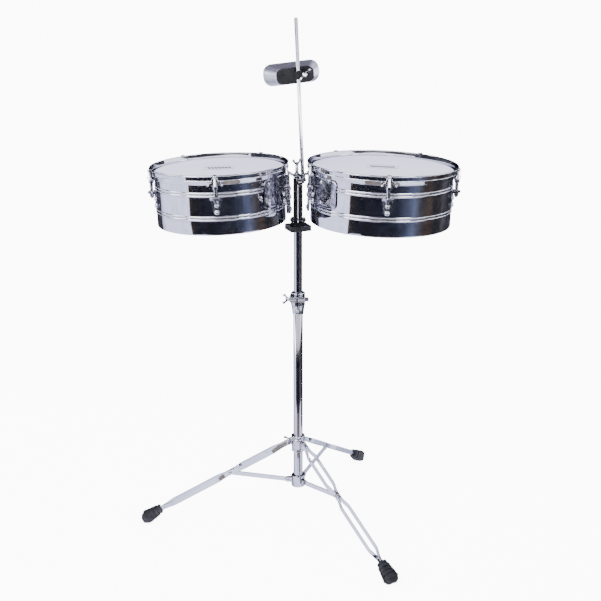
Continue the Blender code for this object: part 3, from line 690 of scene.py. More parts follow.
def make_tension_rod(drum, number):
    """The tuning rod in its sleeve, a washer and a domed nut under the lug's shelf."""
    local = lug_frame(drum, number)
    node = f"{drum['name']}_rod_{number}"
    axis = drum["radius"] + ROD_OUT
    shape = Shape()
    sleeve = (-0.0300, -0.0502, 0.0046, 0.0041, 32)
    flare = (-0.0480, -0.0502, 0.0058, 0.0064, 32)
    shank = (-0.0500, -0.0680, 0.0030, None, 32)
    washer = (-0.0558, -0.0572, 0.0062, None, 32)
    nut = (-0.0572, -0.0640, 0.0058, None, 6)
    threads = [(-0.0662 - 0.0003 * i, -0.0664 - 0.0003 * i, 0.0033, None, 32) for i in range(6)]
    for high, low, size, tip, sides in (sleeve, flare, shank, washer, nut, *threads):
        shape.bar((axis, 0, high), (axis, 0, low), size, tip, sides, local)
    shape.ball(Vector((axis, 0, -0.0640)), 0.0050, local, (1.0, 1.0, 0.6))
    shape.finish(node + "_visual", CAST, node, [node], "plated_steel", bevel=0.0004)


def make_saddle(drum):
    """A curved plate with round corners, its upright spine, the strap to the bolt and dome bolts."""
    radius = drum["radius"] + 0.0026
    top, bottom, corner = -0.0215, -0.0940, 0.0130
    half_height = (top - bottom) / 2
    half_width = drum["saddle"] * radius
    columns, rows = 48, 16
    shape = Shape()
    mesh = shape.mesh
    grid = []
    for i in range(columns + 1):
        line = []
        for j in range(rows + 1):
            x = half_width * (2 * i / columns - 1)
            z = half_height * (2 * j / rows - 1)
            over_x = abs(x) - (half_width - corner)
            over_z = abs(z) - (half_height - corner)
            if over_x > 0 and over_z > 0:
                longest = max(over_x, over_z)
                shrink = longest / Vector((over_x, over_z)).length
                x = (half_width - corner + over_x * shrink) * (1 if x > 0 else -1)
                z = (half_height - corner + over_z * shrink) * (1 if z > 0 else -1)
            angle = drum["inward"] + x / radius
            height = z + (top + bottom) / 2
            line.append(mesh.verts.new((radius * cos(angle), radius * sin(angle), height)))
        grid.append(line)
    for i in range(columns):
        for j in range(rows):
            mesh.faces.new((grid[i][j], grid[i + 1][j], grid[i + 1][j + 1], grid[i][j + 1]))
    bmesh.ops.transform(mesh, matrix=drum_frame(drum), verts=mesh.verts)
    name = drum["name"] + "_mount"
    # The saddle plate's dark colour is a painted reflection.
    piece = shape.finish(name + "_plate", PAINTED_DARK_LUG_CHROME, drum["name"], [name], "chrome", sharp=60)
    wall = piece.modifiers.new("thickness", "SOLIDIFY")
    wall.thickness = 0.0020
    wall.offset = 0.0
    rounding = piece.modifiers.new("edges", "BEVEL")
    rounding.width = 0.0005
    rounding.segments = 2
    make_spine(drum, name)


def make_spine(drum, name):
    inner = drum_frame(drum) @ Matrix.Rotation(drum["inward"], 4, "Z")
    low = drum["radius"] + 0.0030
    high = drum["radius"] + drum["spine"]
    spine = Shape()
    channel = [(low, -0.0110), (high - 0.0016, -0.0078), (high, -0.0050), (high, 0.0050)]
    channel += [(high - 0.0016, 0.0078), (low, 0.0110)]
    spine.prism(channel, -0.1280, -0.0245, inner)
    direction = 1.0 if cos(drum["inward"]) < 0 else -1.0
    start = BOLT_AXIS.x
    bend = start + direction * 0.0125
    rise = bend + direction * 0.0075
    reach = (drum["radius"] + 0.0034) * cos(drum["inward"])
    end = (Matrix.Translation(drum["centre"]) @ Vector((reach, 0, -0.0260))).x
    arm = drum["arm"] + 0.00175
    path = [(start, arm), (bend, arm), (rise, arm + 0.0060), (end, arm + 0.0060)]
    upright = front_view((0, BOLT_AXIS.y, 0))
    spine.strip(smooth_path(path, 0.0030), 0.0180, 0.0034, stand(upright))
    eye = BOLT_AXIS + Vector((0, 0, drum["arm"]))
    ring = [(0.0100, 0.0034), (0.0100, 0.0001), (0.0036, 0.0001), (0.0036, 0.0034)]
    spine.lathe(ring, stand(Matrix.Translation(eye)), 48)
    spine.finish(name + "_spine", CAST, drum["name"], slot="chrome", bevel=0.0009)
    bolts = Shape()
    for height in (-0.0640, -0.0860, -0.1180):
        spot = Vector((high - 0.0002, 0, height))
        bolts.ball(spot, 0.0062, inner, (0.55, 1.0, 1.0))
        bolts.bar(spot, spot + Vector((0.0007, 0, 0)), 0.0068, matrix=inner)
    for angle in (-0.62, 0.62):
        turned = drum_frame(drum) @ Matrix.Rotation(drum["inward"] + angle, 4, "Z")
        for height in (-0.0330, -0.0830):
            spot = Vector((drum["radius"] + 0.0034, 0, height))
            bolts.ball(spot, 0.0048, turned, (0.6, 1.0, 1.0))
    bolts.finish(name + "_bolts", CHROME, drum["name"], slot="chrome", bevel=0.0003)


def make_drum(drum):
    make_shell(drum)
    make_hoop(drum)
    make_head(drum)
    make_saddle(drum)
    for number in range(1, LUG_COUNT + 1):
        make_lug(drum, number)
        make_claw(drum, number)
        make_tension_rod(drum, number)


# ---------------------------------------------------------------- stand


def side_frame(angle, origin, slope):
    """X runs out and up at a slope, Y is square to it in the same upright plane."""
    out = Vector((cos(angle), sin(angle), 0.0))
    along = out * cos(slope) + UP * sin(slope)
    above = UP * cos(slope) - out * sin(slope)
    return stand(frame_from(along, above, along.cross(above), out * origin.x + UP * origin.y))


LEG_VECTOR = FOOT_END - LEG_PIVOT
LEG_LENGTH = LEG_VECTOR.length
LEG_SLOPE = atan2(LEG_VECTOR.y, LEG_VECTOR.x)
MID_DISTANCE = LEG_LENGTH * MID_JOINT
BRACE_VECTOR = LEG_PIVOT + LEG_VECTOR * MID_JOINT - BRACE_PIVOT
BRACE_SLOPE = atan2(BRACE_VECTOR.y, BRACE_VECTOR.x)
BAR_PATH = (
    (-0.0040, BAR_CLOSED),
    (0.0220, BAR_CLOSED),
    (0.0450, BAR_BOWED),
    (MID_DISTANCE - 0.0380, BAR_BOWED),
    (MID_DISTANCE - 0.0140, BAR_CLOSED),
    (MID_DISTANCE + 0.0140, BAR_CLOSED),
    (MID_DISTANCE + 0.0380, BAR_BOWED),
    (LEG_LENGTH - 0.0750, BAR_BOWED),
    (LEG_LENGTH - 0.0450, BAR_AT_FOOT),
    (LEG_LENGTH - 0.0020, BAR_AT_FOOT),
)


def rivet(shape, side, distance, reach, size=0.0048):
    """A rivet head on each face, at a distance along the frame's X."""
    for turn in (-1, 1):
        shape.ball(Vector((distance, 0, turn * reach)), size, side, (1.0, 1.0, 0.42))


def make_leg(number, angle):
    side = side_frame(angle, LEG_PIVOT, LEG_SLOPE)
    flat = side @ Matrix.Rotation(-pi / 2, 4, "X")
    shape = Shape()
    for turn in (-1, 1):
        path = smooth_path([(along, turn * aside) for along, aside in BAR_PATH], 0.0060)
        shape.strip(path, BAR_WIDTH, BAR_THICK, flat)
    shape.bar((0, 0, -0.0056), (0, 0, 0.0056), 0.0030, matrix=side)
    shape.finish(f"leg_{number}_strips", CHROME, f"leg_{number}", [f"leg_{number}"], bevel=0.0006)
    rivets = Shape()
    rivet(rivets, side, 0.0, 0.0057)
    rivet(rivets, side, MID_DISTANCE, 0.0057, 0.0054)
    rivet(rivets, side, LEG_LENGTH - 0.0480, 0.0040, 0.0036)
    rivets.finish(f"leg_{number}_rivets", CAST, f"leg_{number}", slot="plated_steel")


def boot_section(width, height, steps=7):
    """Points round a box section with soft corners."""
    points = []
    for i in range(4 * steps):
        angle = 2 * pi * i / (4 * steps)
        x, y = (copysign(abs(part) ** BOOT_SQUARENESS, part) for part in (cos(angle), sin(angle)))
        points.append((width * x, height * y))
    return points


def make_foot(number, angle):
    """A moulded boot lofted along the leg: a collar, a neck and ribs that widen to a flat sole."""
    side = side_frame(angle, LEG_PIVOT, LEG_SLOPE)
    stations = [
        (-0.0350, 0.0090, 0.0086, 0.0),
        (-0.0344, 0.0118, 0.0112, 0.0),
        (-0.0286, 0.0124, 0.0120, 0.0),
        (-0.0279, 0.0106, 0.0106, 0.0),
        (-0.0252, 0.0112, 0.0110, 0.0),
    ]
    ribs = 4
    for i in range(ribs):
        start = -0.0245 + i * 0.0104
        width = 0.0130 + 0.0012 * i
        height = 0.0122 + 0.0014 * i
        drop = -0.0008 * (i + 1)
        stations += [
            (start, width + 0.0016, height + 0.0012, drop),
            (start + 0.0076, width + 0.0026, height + 0.0020, drop - 0.0004),
            (start + 0.0086, width + 0.0006, height + 0.0002, drop - 0.0004),
        ]
    stations += [(0.0190, 0.0170, 0.0150, -0.0044), (0.0236, 0.0150, 0.0122, -0.0048)]
    stations += [(0.0262, 0.0100, 0.0074, -0.0048)]
    shape = Shape()
    rings = []
    for along, width, height, drop in stations:
        ring = []
        for across, above in boot_section(width, height):
            point = side @ Vector((LEG_LENGTH + along, above + drop, across))
            ring.append(shape.mesh.verts.new((point.x, point.y, max(point.z, 0.0))))
        rings.append(ring)
    shape.loft(rings)
    name = f"foot_{number}"
    shape.finish(name + "_boot", RUBBER, f"leg_{number}", [name], "rubber", sharp=50)


def make_brace(number, angle):
    side = side_frame(angle, BRACE_PIVOT, BRACE_SLOPE)
    length = BRACE_VECTOR.length
    outline = arc((length, 0.0), 0.0062, -pi / 2, pi / 2, 12)
    outline += [(length - 0.0080, 0.0064), (0.0080, 0.0064)]
    outline += arc((0.0, 0.0), 0.0062, pi / 2, 3 * pi / 2, 12)
    outline += [(0.0080, -0.0064), (length - 0.0080, -0.0064)]
    shape = Shape().prism(outline, -0.0020, 0.0020, side)
    shape.bar((0, 0, -0.0066), (0, 0, 0.0066), 0.0029, matrix=side)
    name = f"brace_{number}"
    shape.finish(name + "_bar", CHROME, name, [name], bevel=0.0006)
    rivets = Shape()
    rivet(rivets, side, 0.0, 0.0066, 0.0050)
    rivets.finish(name + "_rivets", CAST, name, slot="plated_steel")


def make_tubes():
    """The pole: two tubes with rounded lips."""
    low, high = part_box("base_tube")
    profile = [(0.0125, high[2]), (0.0127, high[2] - 0.0004), (0.0127, low[2] + 0.0004)]
    profile += [(0.0124, low[2]), (0.0115, low[2]), (0.0115, high[2])]
    shape = Shape().lathe(profile, HERE, TUBE_SIDES)
    shape.finish("base_tube_visual", TUBE, "stand_base", ["base_tube"])
    plug = [(0.0, low[2] + 0.0080), (0.0113, low[2] + 0.0080), (0.0113, low[2] - 0.0010)]
    plug += [(0.0120, low[2] - 0.0016), (0.0110, low[2] - 0.0040), (0.0, low[2] - 0.0048)]
    Shape().lathe(plug, HERE, 48, False).finish(
        "base_tube_plug", RUBBER, "stand_base", slot="rubber", bevel=0.0004
    )
    low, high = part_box("upper_tube")
    profile = [(0.0111, high[2]), (0.0111, low[2]), (0.0097, low[2]), (0.0097, high[2])]
    shape = Shape().lathe(profile, HERE, TUBE_SIDES)
    shape.finish("upper_tube_visual", TUBE, "upper_tube", ["upper_tube"], bevel=0.0003)


def make_collars():
    """The two tripod collars."""
    leg = Shape()
    profile = arc((0.0170, 0.2442), 0.0014, radians(90), 0.0, 4)
    profile += [(0.0180, 0.2420), (0.0172, 0.2408), (0.0172, 0.2360), (0.0182, 0.2348)]
    profile += [(0.0182, 0.2150), (0.0174, 0.2120), (0.0174, 0.2030)]
    profile += arc((0.0166, 0.2014), 0.0014, 0.0, radians(-90), 4)
    profile += [(COLLAR_BORE, 0.2000), (COLLAR_BORE, 0.2456)]
    leg.lathe(profile, HERE, TUBE_SIDES)
    for angle in LEG_ANGLES:
        side = side_frame(angle, LEG_PIVOT, 0.0)
        outline = arc((0.0, 0.0), 0.0062, -pi / 2, pi / 2, 10) + [(-0.0105, 0.0064), (-0.0105, -0.0064)]
        leg.prism(outline, -0.0022, 0.0022, side)
    bolt = Vector(JOINTS["leg_collar_bolt_turn"]["pos_m"])
    outward = Vector(JOINTS["leg_collar_bolt_turn"]["axis"])
    leg.bar(bolt - outward * 0.0075, bolt - outward * 0.0003, 0.0072, 0.0062)
    leg.finish("leg_collar_casting", CAST, "leg_collar", ["leg_collar"], "plated_steel", bevel=0.0007)

    brace = Shape()
    profile = arc((0.0172, 0.1264), 0.0016, radians(90), 0.0, 4)
    profile += [(0.0188, 0.0990), (0.0180, 0.0976), (0.0180, 0.0952)]
    profile += [(COLLAR_BORE, 0.0946), (COLLAR_BORE, 0.1280)]
    brace.lathe(profile, HERE, TUBE_SIDES)
    for angle in LEG_ANGLES:
        side = side_frame(angle, BRACE_PIVOT, 0.0)
        outline = arc((0.0, 0.0), 0.0068, -pi / 2, pi / 2, 10) + [(-0.0120, 0.0072), (-0.0120, -0.0072)]
        for low in (-0.0057, 0.0029):
            brace.prism(outline, low, low + 0.0028, side)
    brace.finish("brace_collar_casting", CAST, "stand_base", ["brace_collar"], "plated_steel", bevel=0.0007)


def make_height_clamp():
    cup = Shape()
    profile = [(0.0172, 0.6128), (0.0170, 0.6100), (0.0146, 0.5925)]
    profile += arc((0.0138, 0.5912), 0.0012, radians(20), radians(-90), 5)
    profile += [(COLLAR_BORE, 0.5900), (COLLAR_BORE, 0.6128)]
    cup.lathe(profile, HERE, TUBE_SIDES)
    cup.ball(Vector((0.0, -0.0160, 0.6000)), 0.0048, HERE, (1.0, 0.45, 1.0))
    cup.finish("height_clamp_cup", CAST, "stand_base", ["height_clamp"], "plated_steel", bevel=0.0003)
    band = Shape()
    inner = 0.0114
    gap = radians(6.5)
    rings = []
    profile = [(0.0172, 0.6490), (0.0186, 0.6480), (0.0182, 0.6300), (0.0188, 0.6150), (0.0178, 0.6134)]
    profile += [(inner, 0.6134), (inner, 0.6490)]
    steps = 60
    for i in range(steps + 1):
        angle = -pi / 2 + gap + (2 * pi - 2 * gap) * i / steps
        rings.append([band.mesh.verts.new((r * cos(angle), r * sin(angle), z)) for r, z in profile])
    band.loft(rings)
    bmesh.ops.transform(band.mesh, matrix=HERE, verts=band.mesh.verts)
    ear = [(-0.0140, 0.6260), (-0.0290, 0.6285)]
    ear += arc((-0.0250, 0.6375), 0.0062, radians(215), radians(95), 8)
    ear += [(-0.0140, 0.6476)]
    lengthwise = side_view()
    for low, high in ((-0.0198, -0.0016), (0.0016, 0.0198)):
        band.prism(ear, low, high, HERE @ lengthwise)
    square = side_view((0.0196, *CLAMP_SCREW))
    band.prism(arc((0, 0), 0.0072, radians(20), radians(290), 3), 0.0008, 0.0098, HERE @ square)
    band.bar((0.0194, *CLAMP_SCREW), (0.0206, *CLAMP_SCREW), 0.0078, matrix=HERE)
    band.finish("height_clamp_band", CAST, "stand_base", slot="plated_steel", bevel=0.0007)


def make_wings(shape, outline, half_thick, matrix):
    """One wing and its mirror image."""
    for turn in (1, -1):
        shape.prism([(x * turn, z) for x, z in outline], -half_thick, half_thick, matrix)


def make_wing_bolt(name, tip, seat, hub=WING_HUB):
    """A wing screw: shank, washer, waisted hub and two curved wings with round lobes."""
    tip, seat = Vector(tip), Vector(seat)
    along = (seat - tip).normalized()
    across = along.orthogonal().normalized()
    local = stand(frame_from(across, along.cross(across), along, seat))
    shape = Shape()
    shape.bar(tip, seat, 0.0029, matrix=HERE)
    profile = [(0.0, hub + 0.0010), (0.0026, hub + 0.0008), (0.0040, hub - 0.0006)]
    profile += [(0.0038, hub - 0.0040), (0.0044, 0.0050), (0.0060, 0.0022), (0.0060, 0.0004), (0.0, 0.0004)]
    shape.lathe(profile, local, 40, False)
    upright = local @ front_view((0, 0, hub - 0.0100))
    wing = [(0.0, 0.0030), (0.0060, 0.0046), (WING_SPAN - 0.0030, 0.0092)]
    wing += arc((WING_SPAN - 0.0022, 0.0142), 0.0040, radians(-60), radians(130), 10)
    wing += [(0.0062, 0.0108), (0.0, 0.0086)]
    make_wings(shape, wing, 0.0015, upright)
    shape.finish(f"{name}_visual", CAST, name, [name], "plated_steel", bevel=0.0006)


def make_tilter():
    """The black tilter block, its pin, the twin posts and the small shelf for the cowbell rod."""
    block = frame["nodes"]["tilter_block"]
    block.data.materials.clear()
    block.data.materials.append(BLACK)
    rounding = block.modifiers.new("rounded edges", "BEVEL")
    rounding.width = 0.0010
    rounding.segments = 2
    rounding.limit_method = "ANGLE"
    posts = Shape()
    side = HERE @ side_view()
    foot = arc((0.0, TILT_HEIGHT), POST_HALF, pi, 2 * pi, 16)
    tall = foot + [(POST_HALF, 0.9486), (-POST_HALF, 0.9516)]
    posts.prism(tall, -0.0117, -0.0006, side)
    round_top = foot + arc((0.0, 0.9400), POST_HALF, 0.0, pi, 16)
    posts.prism(round_top, 0.0006, 0.0117, side)
    posts.bar(BOLT_AXIS + UP * 0.9330, BOLT_AXIS + UP * 0.9520, 0.0074, matrix=HERE)
    posts.box((-0.0028, -0.0220, 0.9450), (0.0200, 0.0040, 0.9500), HERE)
    posts.bar((0.0170, -0.0150, 0.9475), (0.0228, -0.0150, 0.9475), 0.0030, matrix=HERE)
    posts.bar((-0.0182, 0, TILT_HEIGHT), (0.0182, 0, TILT_HEIGHT), 0.0028, matrix=HERE)
    posts.finish("tilter_posts_visual", TUBE, "tilter_posts", ["tilter_posts"], bevel=0.0012)
    pins = Shape()
    for turn in (-1, 1):
        pins.ball(Vector((turn * 0.0186, 0, TILT_HEIGHT)), 0.0052, HERE, (0.42, 1.0, 1.0))
    pins.finish("tilter_pin_heads", CAST, "tilter_block", slot="plated_steel")


# ---------------------------------------------------------------- cowbell


def bell_frame():
    """X runs across the bell, Z from its crown to its mouth. The origin is the clamp's middle."""
    tilt = JOINTS["cowbell_tilt"]
    ahead = Vector(tilt["axis"]).normalized()
    origin = Vector(tilt["pos_m"]) - ahead * 0.0140
    level = ahead.cross(UP).normalized()
    upright = level.cross(ahead)
    roll = radians(6.5)
    across = level * cos(roll) + upright * sin(roll)
    return frame_from(across, ahead.cross(across), ahead, origin)


def round_rectangle(width, height, corner, steps=10):
    points = []
    for index, (x, y) in enumerate(((1, 1), (-1, 1), (-1, -1), (1, -1))):
        centre = (x * (width / 2 - corner), y * (height / 2 - corner))
        start = index * pi / 2
        points += arc(centre, corner, start, start + pi / 2, steps)
    return points


def make_cowbell():
    """A folded sheet bell: lightly flared walls, a seam down each side and a black crown cap."""
    local = bell_frame()

    def section(share, inset):
        flare = share + 0.03 * sin(pi * share)
        width = 0.0940 + 0.0540 * flare - 2 * inset
        height = 0.0400 + 0.0180 * flare - 2 * inset
        corner = 0.0150 + 0.0080 * share - inset
        return round_rectangle(width, height, corner)

    shape = Shape()
    mesh = shape.mesh
    rows = []
    steps = 24
    stations = [(i / steps, 0.0) for i in range(steps + 1)]
    stations += [(i / steps, BELL_WALL) for i in range(steps, 0, -1)]
    for share, inset in stations:
        height = BELL_CROWN + BELL_LENGTH * share
        rows.append([mesh.verts.new((x + BELL_SHIFT, y, height)) for x, y in section(share, inset)])
    shape.loft(rows)
    bmesh.ops.transform(mesh, matrix=local, verts=mesh.verts)
    shape.finish("cowbell_shell", BELL, "cowbell", ["cowbell"], bevel=0.0005, sharp=50)
    seam = Shape()
    for turn in (-1, 1):
        path = []
        for share in (0.0, 0.25, 0.5, 0.75, 0.995):
            across = turn * (0.0470 + 0.0270 * share) + BELL_SHIFT
            path.append((across, BELL_CROWN + BELL_LENGTH * share))
        flat = local @ front_view()
        seam.strip(path, 0.0110, 0.0012, flat)
    seam.finish("cowbell_seams", BELL, "cowbell", slot="chrome", bevel=0.0004)
    crown = Shape()
    outline = [(x + BELL_SHIFT, y) for x, y in round_rectangle(0.0928, 0.0392, 0.0148)]
    crown.prism(outline, BELL_CROWN - 0.0006, BELL_CROWN + 0.0010, local)
    inner = [(x + BELL_SHIFT, y) for x, y in round_rectangle(0.0800, 0.0300, 0.0110)]
    crown.prism(inner, BELL_CROWN - 0.0014, BELL_CROWN, local)
    for x, y in ((-0.0180, -0.0118), (-0.0390, -0.0060)):
        crown.ball(Vector((x, y, BELL_CROWN - 0.0014)), 0.0026, local, (1, 1, 0.5))
    crown.finish("cowbell_crown", BLACK, "cowbell", slot="black_paint", bevel=0.0006)


def make_cowbell_clamp():
    local = bell_frame()
    along = Vector(JOINTS["cowbell_rod_turn"]["axis"])
    block = Shape()
    outline = [(x + 0.0062, y) for x, y in round_rectangle(0.0300, 0.0220, 0.0040, 4)]
    block.prism(outline, 0.0048, 0.0133, local)
    outline = [(x + 0.0010, y) for x, y in round_rectangle(0.0180, 0.0200, 0.0030, 4)]
    block.prism(outline, -0.0090, -0.0044, local)
    for low, high in ((-0.0088, -0.0046), (0.0046, 0.0210)):
        block.box((low, -0.0095, -0.0060), (high, 0.0095, 0.0080), local)
    block.bar((0, 0, 0.0100), (0, 0, 0.0198), 0.0029, matrix=local)
    block.bar((0, 0, 0.0162), (0, 0, 0.0208), 0.0054, sides=6, matrix=local)
    node = "cowbell_clamp"
    block.finish(node + "_block", BLACK, node, [node], "black_paint", bevel=0.0007)
    screw = Shape()
    base = local @ Matrix.Translation((0.0148, 0, -0.0060)) @ Matrix.Rotation(pi, 4, "X")
    profile = [(0.0, 0.0150), (0.0042, 0.0146), (0.0062, 0.0124), (0.0062, 0.0060), (0.0064, 0.0024)]
    profile += [(0.0064, 0.0002), (0.0, 0.0002)]
    screw.lathe(profile, base, 40, False)
    turned = base @ Matrix.Rotation(radians(38), 4, "Z")
    upright = turned @ front_view()
    wing = [(0.0, 0.0060), (0.0080, 0.0084)]
    wing += arc((0.0160, 0.0130), 0.0034, radians(-70), radians(120), 8)
    wing += [(0.0080, 0.0134), (0.0, 0.0120)]
    make_wings(screw, wing, 0.0022, upright)
    origin = local.translation
    for turn in (-1, 1):
        screw.bar(origin + along * turn * 0.0098, origin + along * turn * 0.0112, 0.0066)
    screw.finish("cowbell_clamp_screw", CAST, "cowbell_clamp", slot="plated_steel", bevel=0.0005)


def make_cowbell_rod():
    joint = JOINTS["cowbell_rod_turn"]
    foot = Vector(joint["pos_m"])
    along = Vector(joint["axis"]).normalized()
    place = Matrix.Translation(foot) @ along.to_track_quat("Z", "Y").to_matrix().to_4x4()
    profile = [(0.0, ROD_LENGTH)]
    profile += arc((0.0028, ROD_LENGTH - 0.0019), 0.0018, radians(90), 0.0, 4)
    profile += [(0.0046, 0.0240), (0.0038, 0.0230), (0.0038, 0.0), (0.0, 0.0)]
    shape = Shape().lathe(profile, place, 40, False)
    shape.finish("cowbell_rod_visual", ROD, "cowbell_rod", ["cowbell_rod"])
    stop = Shape()
    collar = [(0.0070, 0.0240), (0.0070, 0.0140), (0.0039, 0.0140), (0.0039, 0.0240)]
    stop.lathe(collar, place, 40)
    stop.finish("cowbell_rod_collar", CAST, "cowbell_rod", slot="plated_steel", bevel=0.0006)


# ---------------------------------------------------------------- studio


def glow(piece, color, strength):
    """Makes a stage piece a plain light card that only glossy rays meet."""
    dim = tuple(part * 0.88 for part in color)
    card = clouded_glow(piece.name + "_glow", 0.9, dim, color, 2.0)
    card.shader.inputs["Emission Strength"].default_value = strength
    piece.data.materials.append(card.material)
    only_glossy(piece)


def only_glossy(piece):
    piece.visible_camera = False
    piece.visible_diffuse = False
    piece.visible_shadow = False
    piece.visible_transmission = False


def make_studio():
    """A white floor, a soft cool surround, and cards and screens that only the metal sees."""
    world = bpy.data.worlds.new("studio")
    bpy.context.scene.world = world
    world.use_nodes = True
    background = world.node_tree.nodes["Background"]
    background.inputs["Color"].default_value = (0.86, 0.875, 1.0, 1.0)
    background.inputs["Strength"].default_value = 2.3

    bpy.ops.mesh.primitive_plane_add(size=600.0)
    floor = bpy.context.object
    floor.name = "floor"
    paper = Nodes("floor_paper", (0.95, 0.95, 0.96), 0.9, 0.0)
    cloud = paper.noise(0.8, 3.0)
    paper.into(paper.ramp(cloud, [(0.3, (0.93, 0.93, 0.94)), (0.7, (0.96, 0.96, 0.97))]), "Base Color")
    paper.shader.inputs["Emission Color"].default_value = (1.0, 1.0, 1.0, 1.0)
    paper.shader.inputs["Emission Strength"].default_value = 9.0
    floor.data.materials.append(paper.material)

    ceiling = make_ceiling()
    make_screen("back_wall", ceiling, 8.5, 117.0, 309.0, 0.9, 3.7)
    pale = clouded_glow("pale_floor_glow", 1.6, (1.20, 1.25, 1.75), (1.75, 1.80, 2.35)).material
    make_cloth("pale_floor", pale, 0.01, 14.0, -180.0, 180.0, 0.001)
    dark_cloth = dark_cloth_material()
    make_screen("front_screen", dark_cloth, 6.0, -48.5, 117.0, 0.0, 0.62)
    make_screen("back_left_screen", dark_cloth, 6.0, -160.0, -119.0, 0.0, 0.55)
    make_screen("back_right_screen", dark_cloth, 6.0, 150.0, 176.0, 0.0, 0.55)
    for name, start, end, near in (
        ("cloth_left", -48.5, -44.0, 1.60),
        ("cloth_front", -24.0, 44.0, 1.60),
        ("cloth_right", 76.0, 176.0, 0.90),
        ("cloth_far", -48.5, 117.0, 1.80),
        ("cloth_back", -160.0, -119.0, 1.80),
    ):
        make_cloth(name, dark_cloth, near, 6.0, start, end)
    brown = clouded_glow("brown_floor_glow", 3.0, (0.26, 0.22, 0.21), (0.46, 0.42, 0.41)).material
    make_cloth("cloth_path", brown, 0.52, 1.60, -18.0, 40.0)
    make_cloth("cloth_near", dark_cloth, 0.30, 0.62, 28.0, 58.0)

    for name, angle, height, width, tall, strength in (
        ("left_softbox", -24.0, 2.75, 0.9, 0.7, 14.0),
        ("right_softbox", 48.0, 2.65, 0.9, 0.7, 14.0),
        ("side_softbox", -88.0, 2.40, 0.6, 1.2, 10.0),
        ("rear_softbox", 150.0, 2.40, 0.8, 1.0, 8.0),
    ):
        make_card(name, angle, height, width, tall, strength)

    lamp_data = bpy.data.lights.new("key_light", "AREA")
    lamp_data.energy = 90.0
    lamp_data.size = 1.6
    lamp = bpy.data.objects.new("key_light", lamp_data)
    bpy.context.scene.collection.objects.link(lamp)
    lamp.location = (-2.2, -2.2, 2.9)
    lamp.rotation_euler = (Vector((0, 0, 0.8)) - lamp.location).to_track_quat("-Z", "Y").to_euler()


def studio_direction(degrees):
    """A level direction, counted from the camera's side: plus is to the camera's right."""
    angle = radians(degrees - 90.0)
    return Vector((cos(angle), sin(angle), 0.0))


def link_stage(name, mesh, material=None):
    data = bpy.data.meshes.new(name)
    mesh.to_mesh(data)
    mesh.free()
    piece = bpy.data.objects.new(name, data)
    bpy.context.scene.collection.objects.link(piece)
    if material:
        data.materials.append(material)
        only_glossy(piece)
    return piece


def make_card(name, degrees, height, width, tall, strength):
    """A light card that faces the drums."""
    spot = studio_direction(degrees) * 2.2 + UP * height
    facing = (spot - UP * 0.9).normalized()
    level = UP.cross(facing).normalized()
    matrix = frame_from(level, facing.cross(level), facing, spot)
    mesh = bmesh.new()
    corners = ((-1, -1), (1, -1), (1, 1), (-1, 1))
    mesh.faces.new([mesh.verts.new(matrix @ Vector((x * width / 2, y * tall / 2, 0))) for x, y in corners])
    glow(link_stage(name, mesh), (0.95, 0.95, 1.0), strength)


def make_cloth(name, material, near, far, start, end, height=0.002):
    """A cloth on the floor, a sector of a ring."""
    make_sheet(name, material, (near, height), (far, height), start, end)


def make_screen(name, material, radius, start, end, low, high):
    """An upright curved screen round the object."""
    make_sheet(name, material, (radius, low), (radius, high), start, end)


def make_sheet(name, material, first, last, start, end, steps=60):
    """A sheet swept round the object between two edges. Each edge is a (radius, height)."""
    mesh = bmesh.new()
    rows = []
    for i in range(steps + 1):
        out = studio_direction(start + (end - start) * i / steps)
        rows.append([mesh.verts.new(out * radius + UP * height) for radius, height in (first, last)])
    for before, after in zip(rows, rows[1:]):
        mesh.faces.new((before[0], before[1], after[1], after[0]))
    link_stage(name, mesh, material)


def glow_material(name):
    """A material that only shines, and only for the metal."""
    nodes = Nodes(name, (0.0, 0.0, 0.0), 1.0, 0.0)
    nodes.shader.inputs["Specular IOR Level"].default_value = 0.0
    nodes.shader.inputs["Emission Strength"].default_value = 1.0
    return nodes


def clouded_glow(name, scale, dim, bright, detail=3.0):
    """A glow that wanders between two colours."""
    nodes = glow_material(name)
    nodes.into(nodes.ramp(nodes.noise(scale, detail), [(0.3, dim), (0.7, bright)]), "Emission Color")
    return nodes


def make_ceiling():
    """The unlit ceiling over the studio."""
    mesh = bmesh.new()
    for x, y in ((-1, -1), (1, -1), (1, 1), (-1, 1)):
        mesh.verts.new((x * 9.0, y * 9.0, 3.6))
    mesh.faces.new(list(mesh.verts))
    dark = clouded_glow("dark_ceiling", 0.45, (0.030, 0.032, 0.045), (0.120, 0.125, 0.155)).material
    link_stage("ceiling", mesh, dark)
    return dark


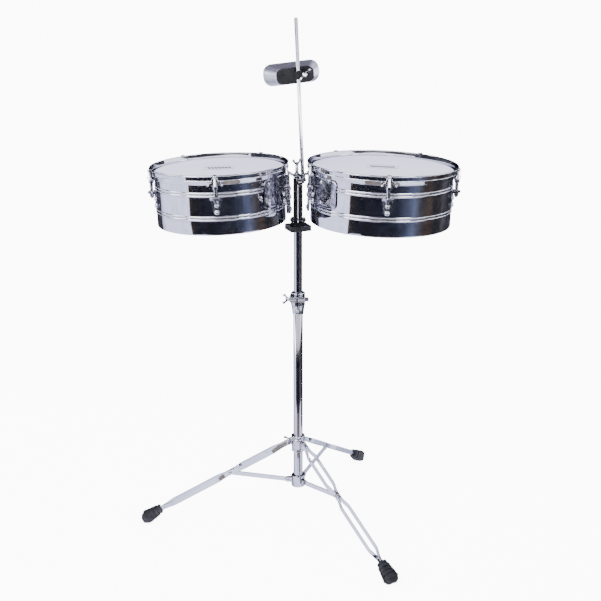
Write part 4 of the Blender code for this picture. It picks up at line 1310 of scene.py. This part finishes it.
DARK_TONES = (
    (-53.0, (0.040, 0.026, 0.020)),
    (-45.0, (0.026, 0.019, 0.020)),
    (-36.0, (0.009, 0.010, 0.020)),
    (0.0, (0.009, 0.011, 0.023)),
    (28.0, (0.014, 0.018, 0.036)),
    (44.0, (0.050, 0.060, 0.110)),
    (55.0, (0.120, 0.145, 0.250)),
    (64.0, (0.080, 0.085, 0.120)),
    (74.0, (0.060, 0.045, 0.045)),
    (86.0, (0.055, 0.038, 0.032)),
    (96.0, (0.014, 0.016, 0.028)),
    (108.0, (0.040, 0.034, 0.036)),
    (116.0, (0.100, 0.100, 0.120)),
)


def dark_cloth_material():
    """A dark backdrop: navy with soft upright bands of brown and grey-blue."""
    nodes = glow_material("dark_cloth")
    around = nodes.add("ShaderNodeTexGradient", gradient_type="RADIAL")
    nodes.link(nodes.place, around.inputs["Vector"])
    stops = [(degrees / 360.0 + 0.25, color) for degrees, color in DARK_TONES]
    bands = nodes.ramp(around.outputs["Fac"], stops)
    cloud = nodes.ramp(nodes.noise(0.8, 4.0), [(0.3, (0.5, 0.5, 0.5)), (0.7, (1.5, 1.5, 1.5))])
    nodes.into(nodes.times(bands, cloud), "Emission Color")
    return nodes.material


def make_camera():
    data = bpy.data.cameras.new("camera")
    data.lens = CAMERA_LENS
    data.sensor_width = CAMERA_SENSOR
    camera = bpy.data.objects.new("camera", data)
    bpy.context.scene.collection.objects.link(camera)
    camera.location = STAND + CAMERA_PLACE
    camera.rotation_euler = CAMERA_TURN
    bpy.context.scene.camera = camera


# ---------------------------------------------------------------- assembly

make_camera()
make_studio()
make_tubes()
make_collars()
make_height_clamp()
for leg_number, leg_angle in enumerate(LEG_ANGLES, start=1):
    make_leg(leg_number, leg_angle)
    make_foot(leg_number, leg_angle)
    make_brace(leg_number, leg_angle)
make_tilter()
make_drum(LEFT)
make_drum(RIGHT)
make_cowbell()
make_cowbell_clamp()
make_cowbell_rod()
LEG_BOLT = Vector((cos(radians(222.0)), sin(radians(222.0)), 0.0))
LEG_BOLT_RISE = UP * 0.2385
make_wing_bolt("leg_collar_bolt", LEG_BOLT * 0.0175 + LEG_BOLT_RISE, LEG_BOLT * 0.0238 + LEG_BOLT_RISE)
make_wing_bolt("height_clamp_bolt", (-0.0125, *CLAMP_SCREW), (-0.0203, *CLAMP_SCREW))
make_wing_bolt("drum_wing_bolt", BOLT_AXIS + UP * 0.9380, BOLT_AXIS + UP * 0.9601, hub=0.0300)
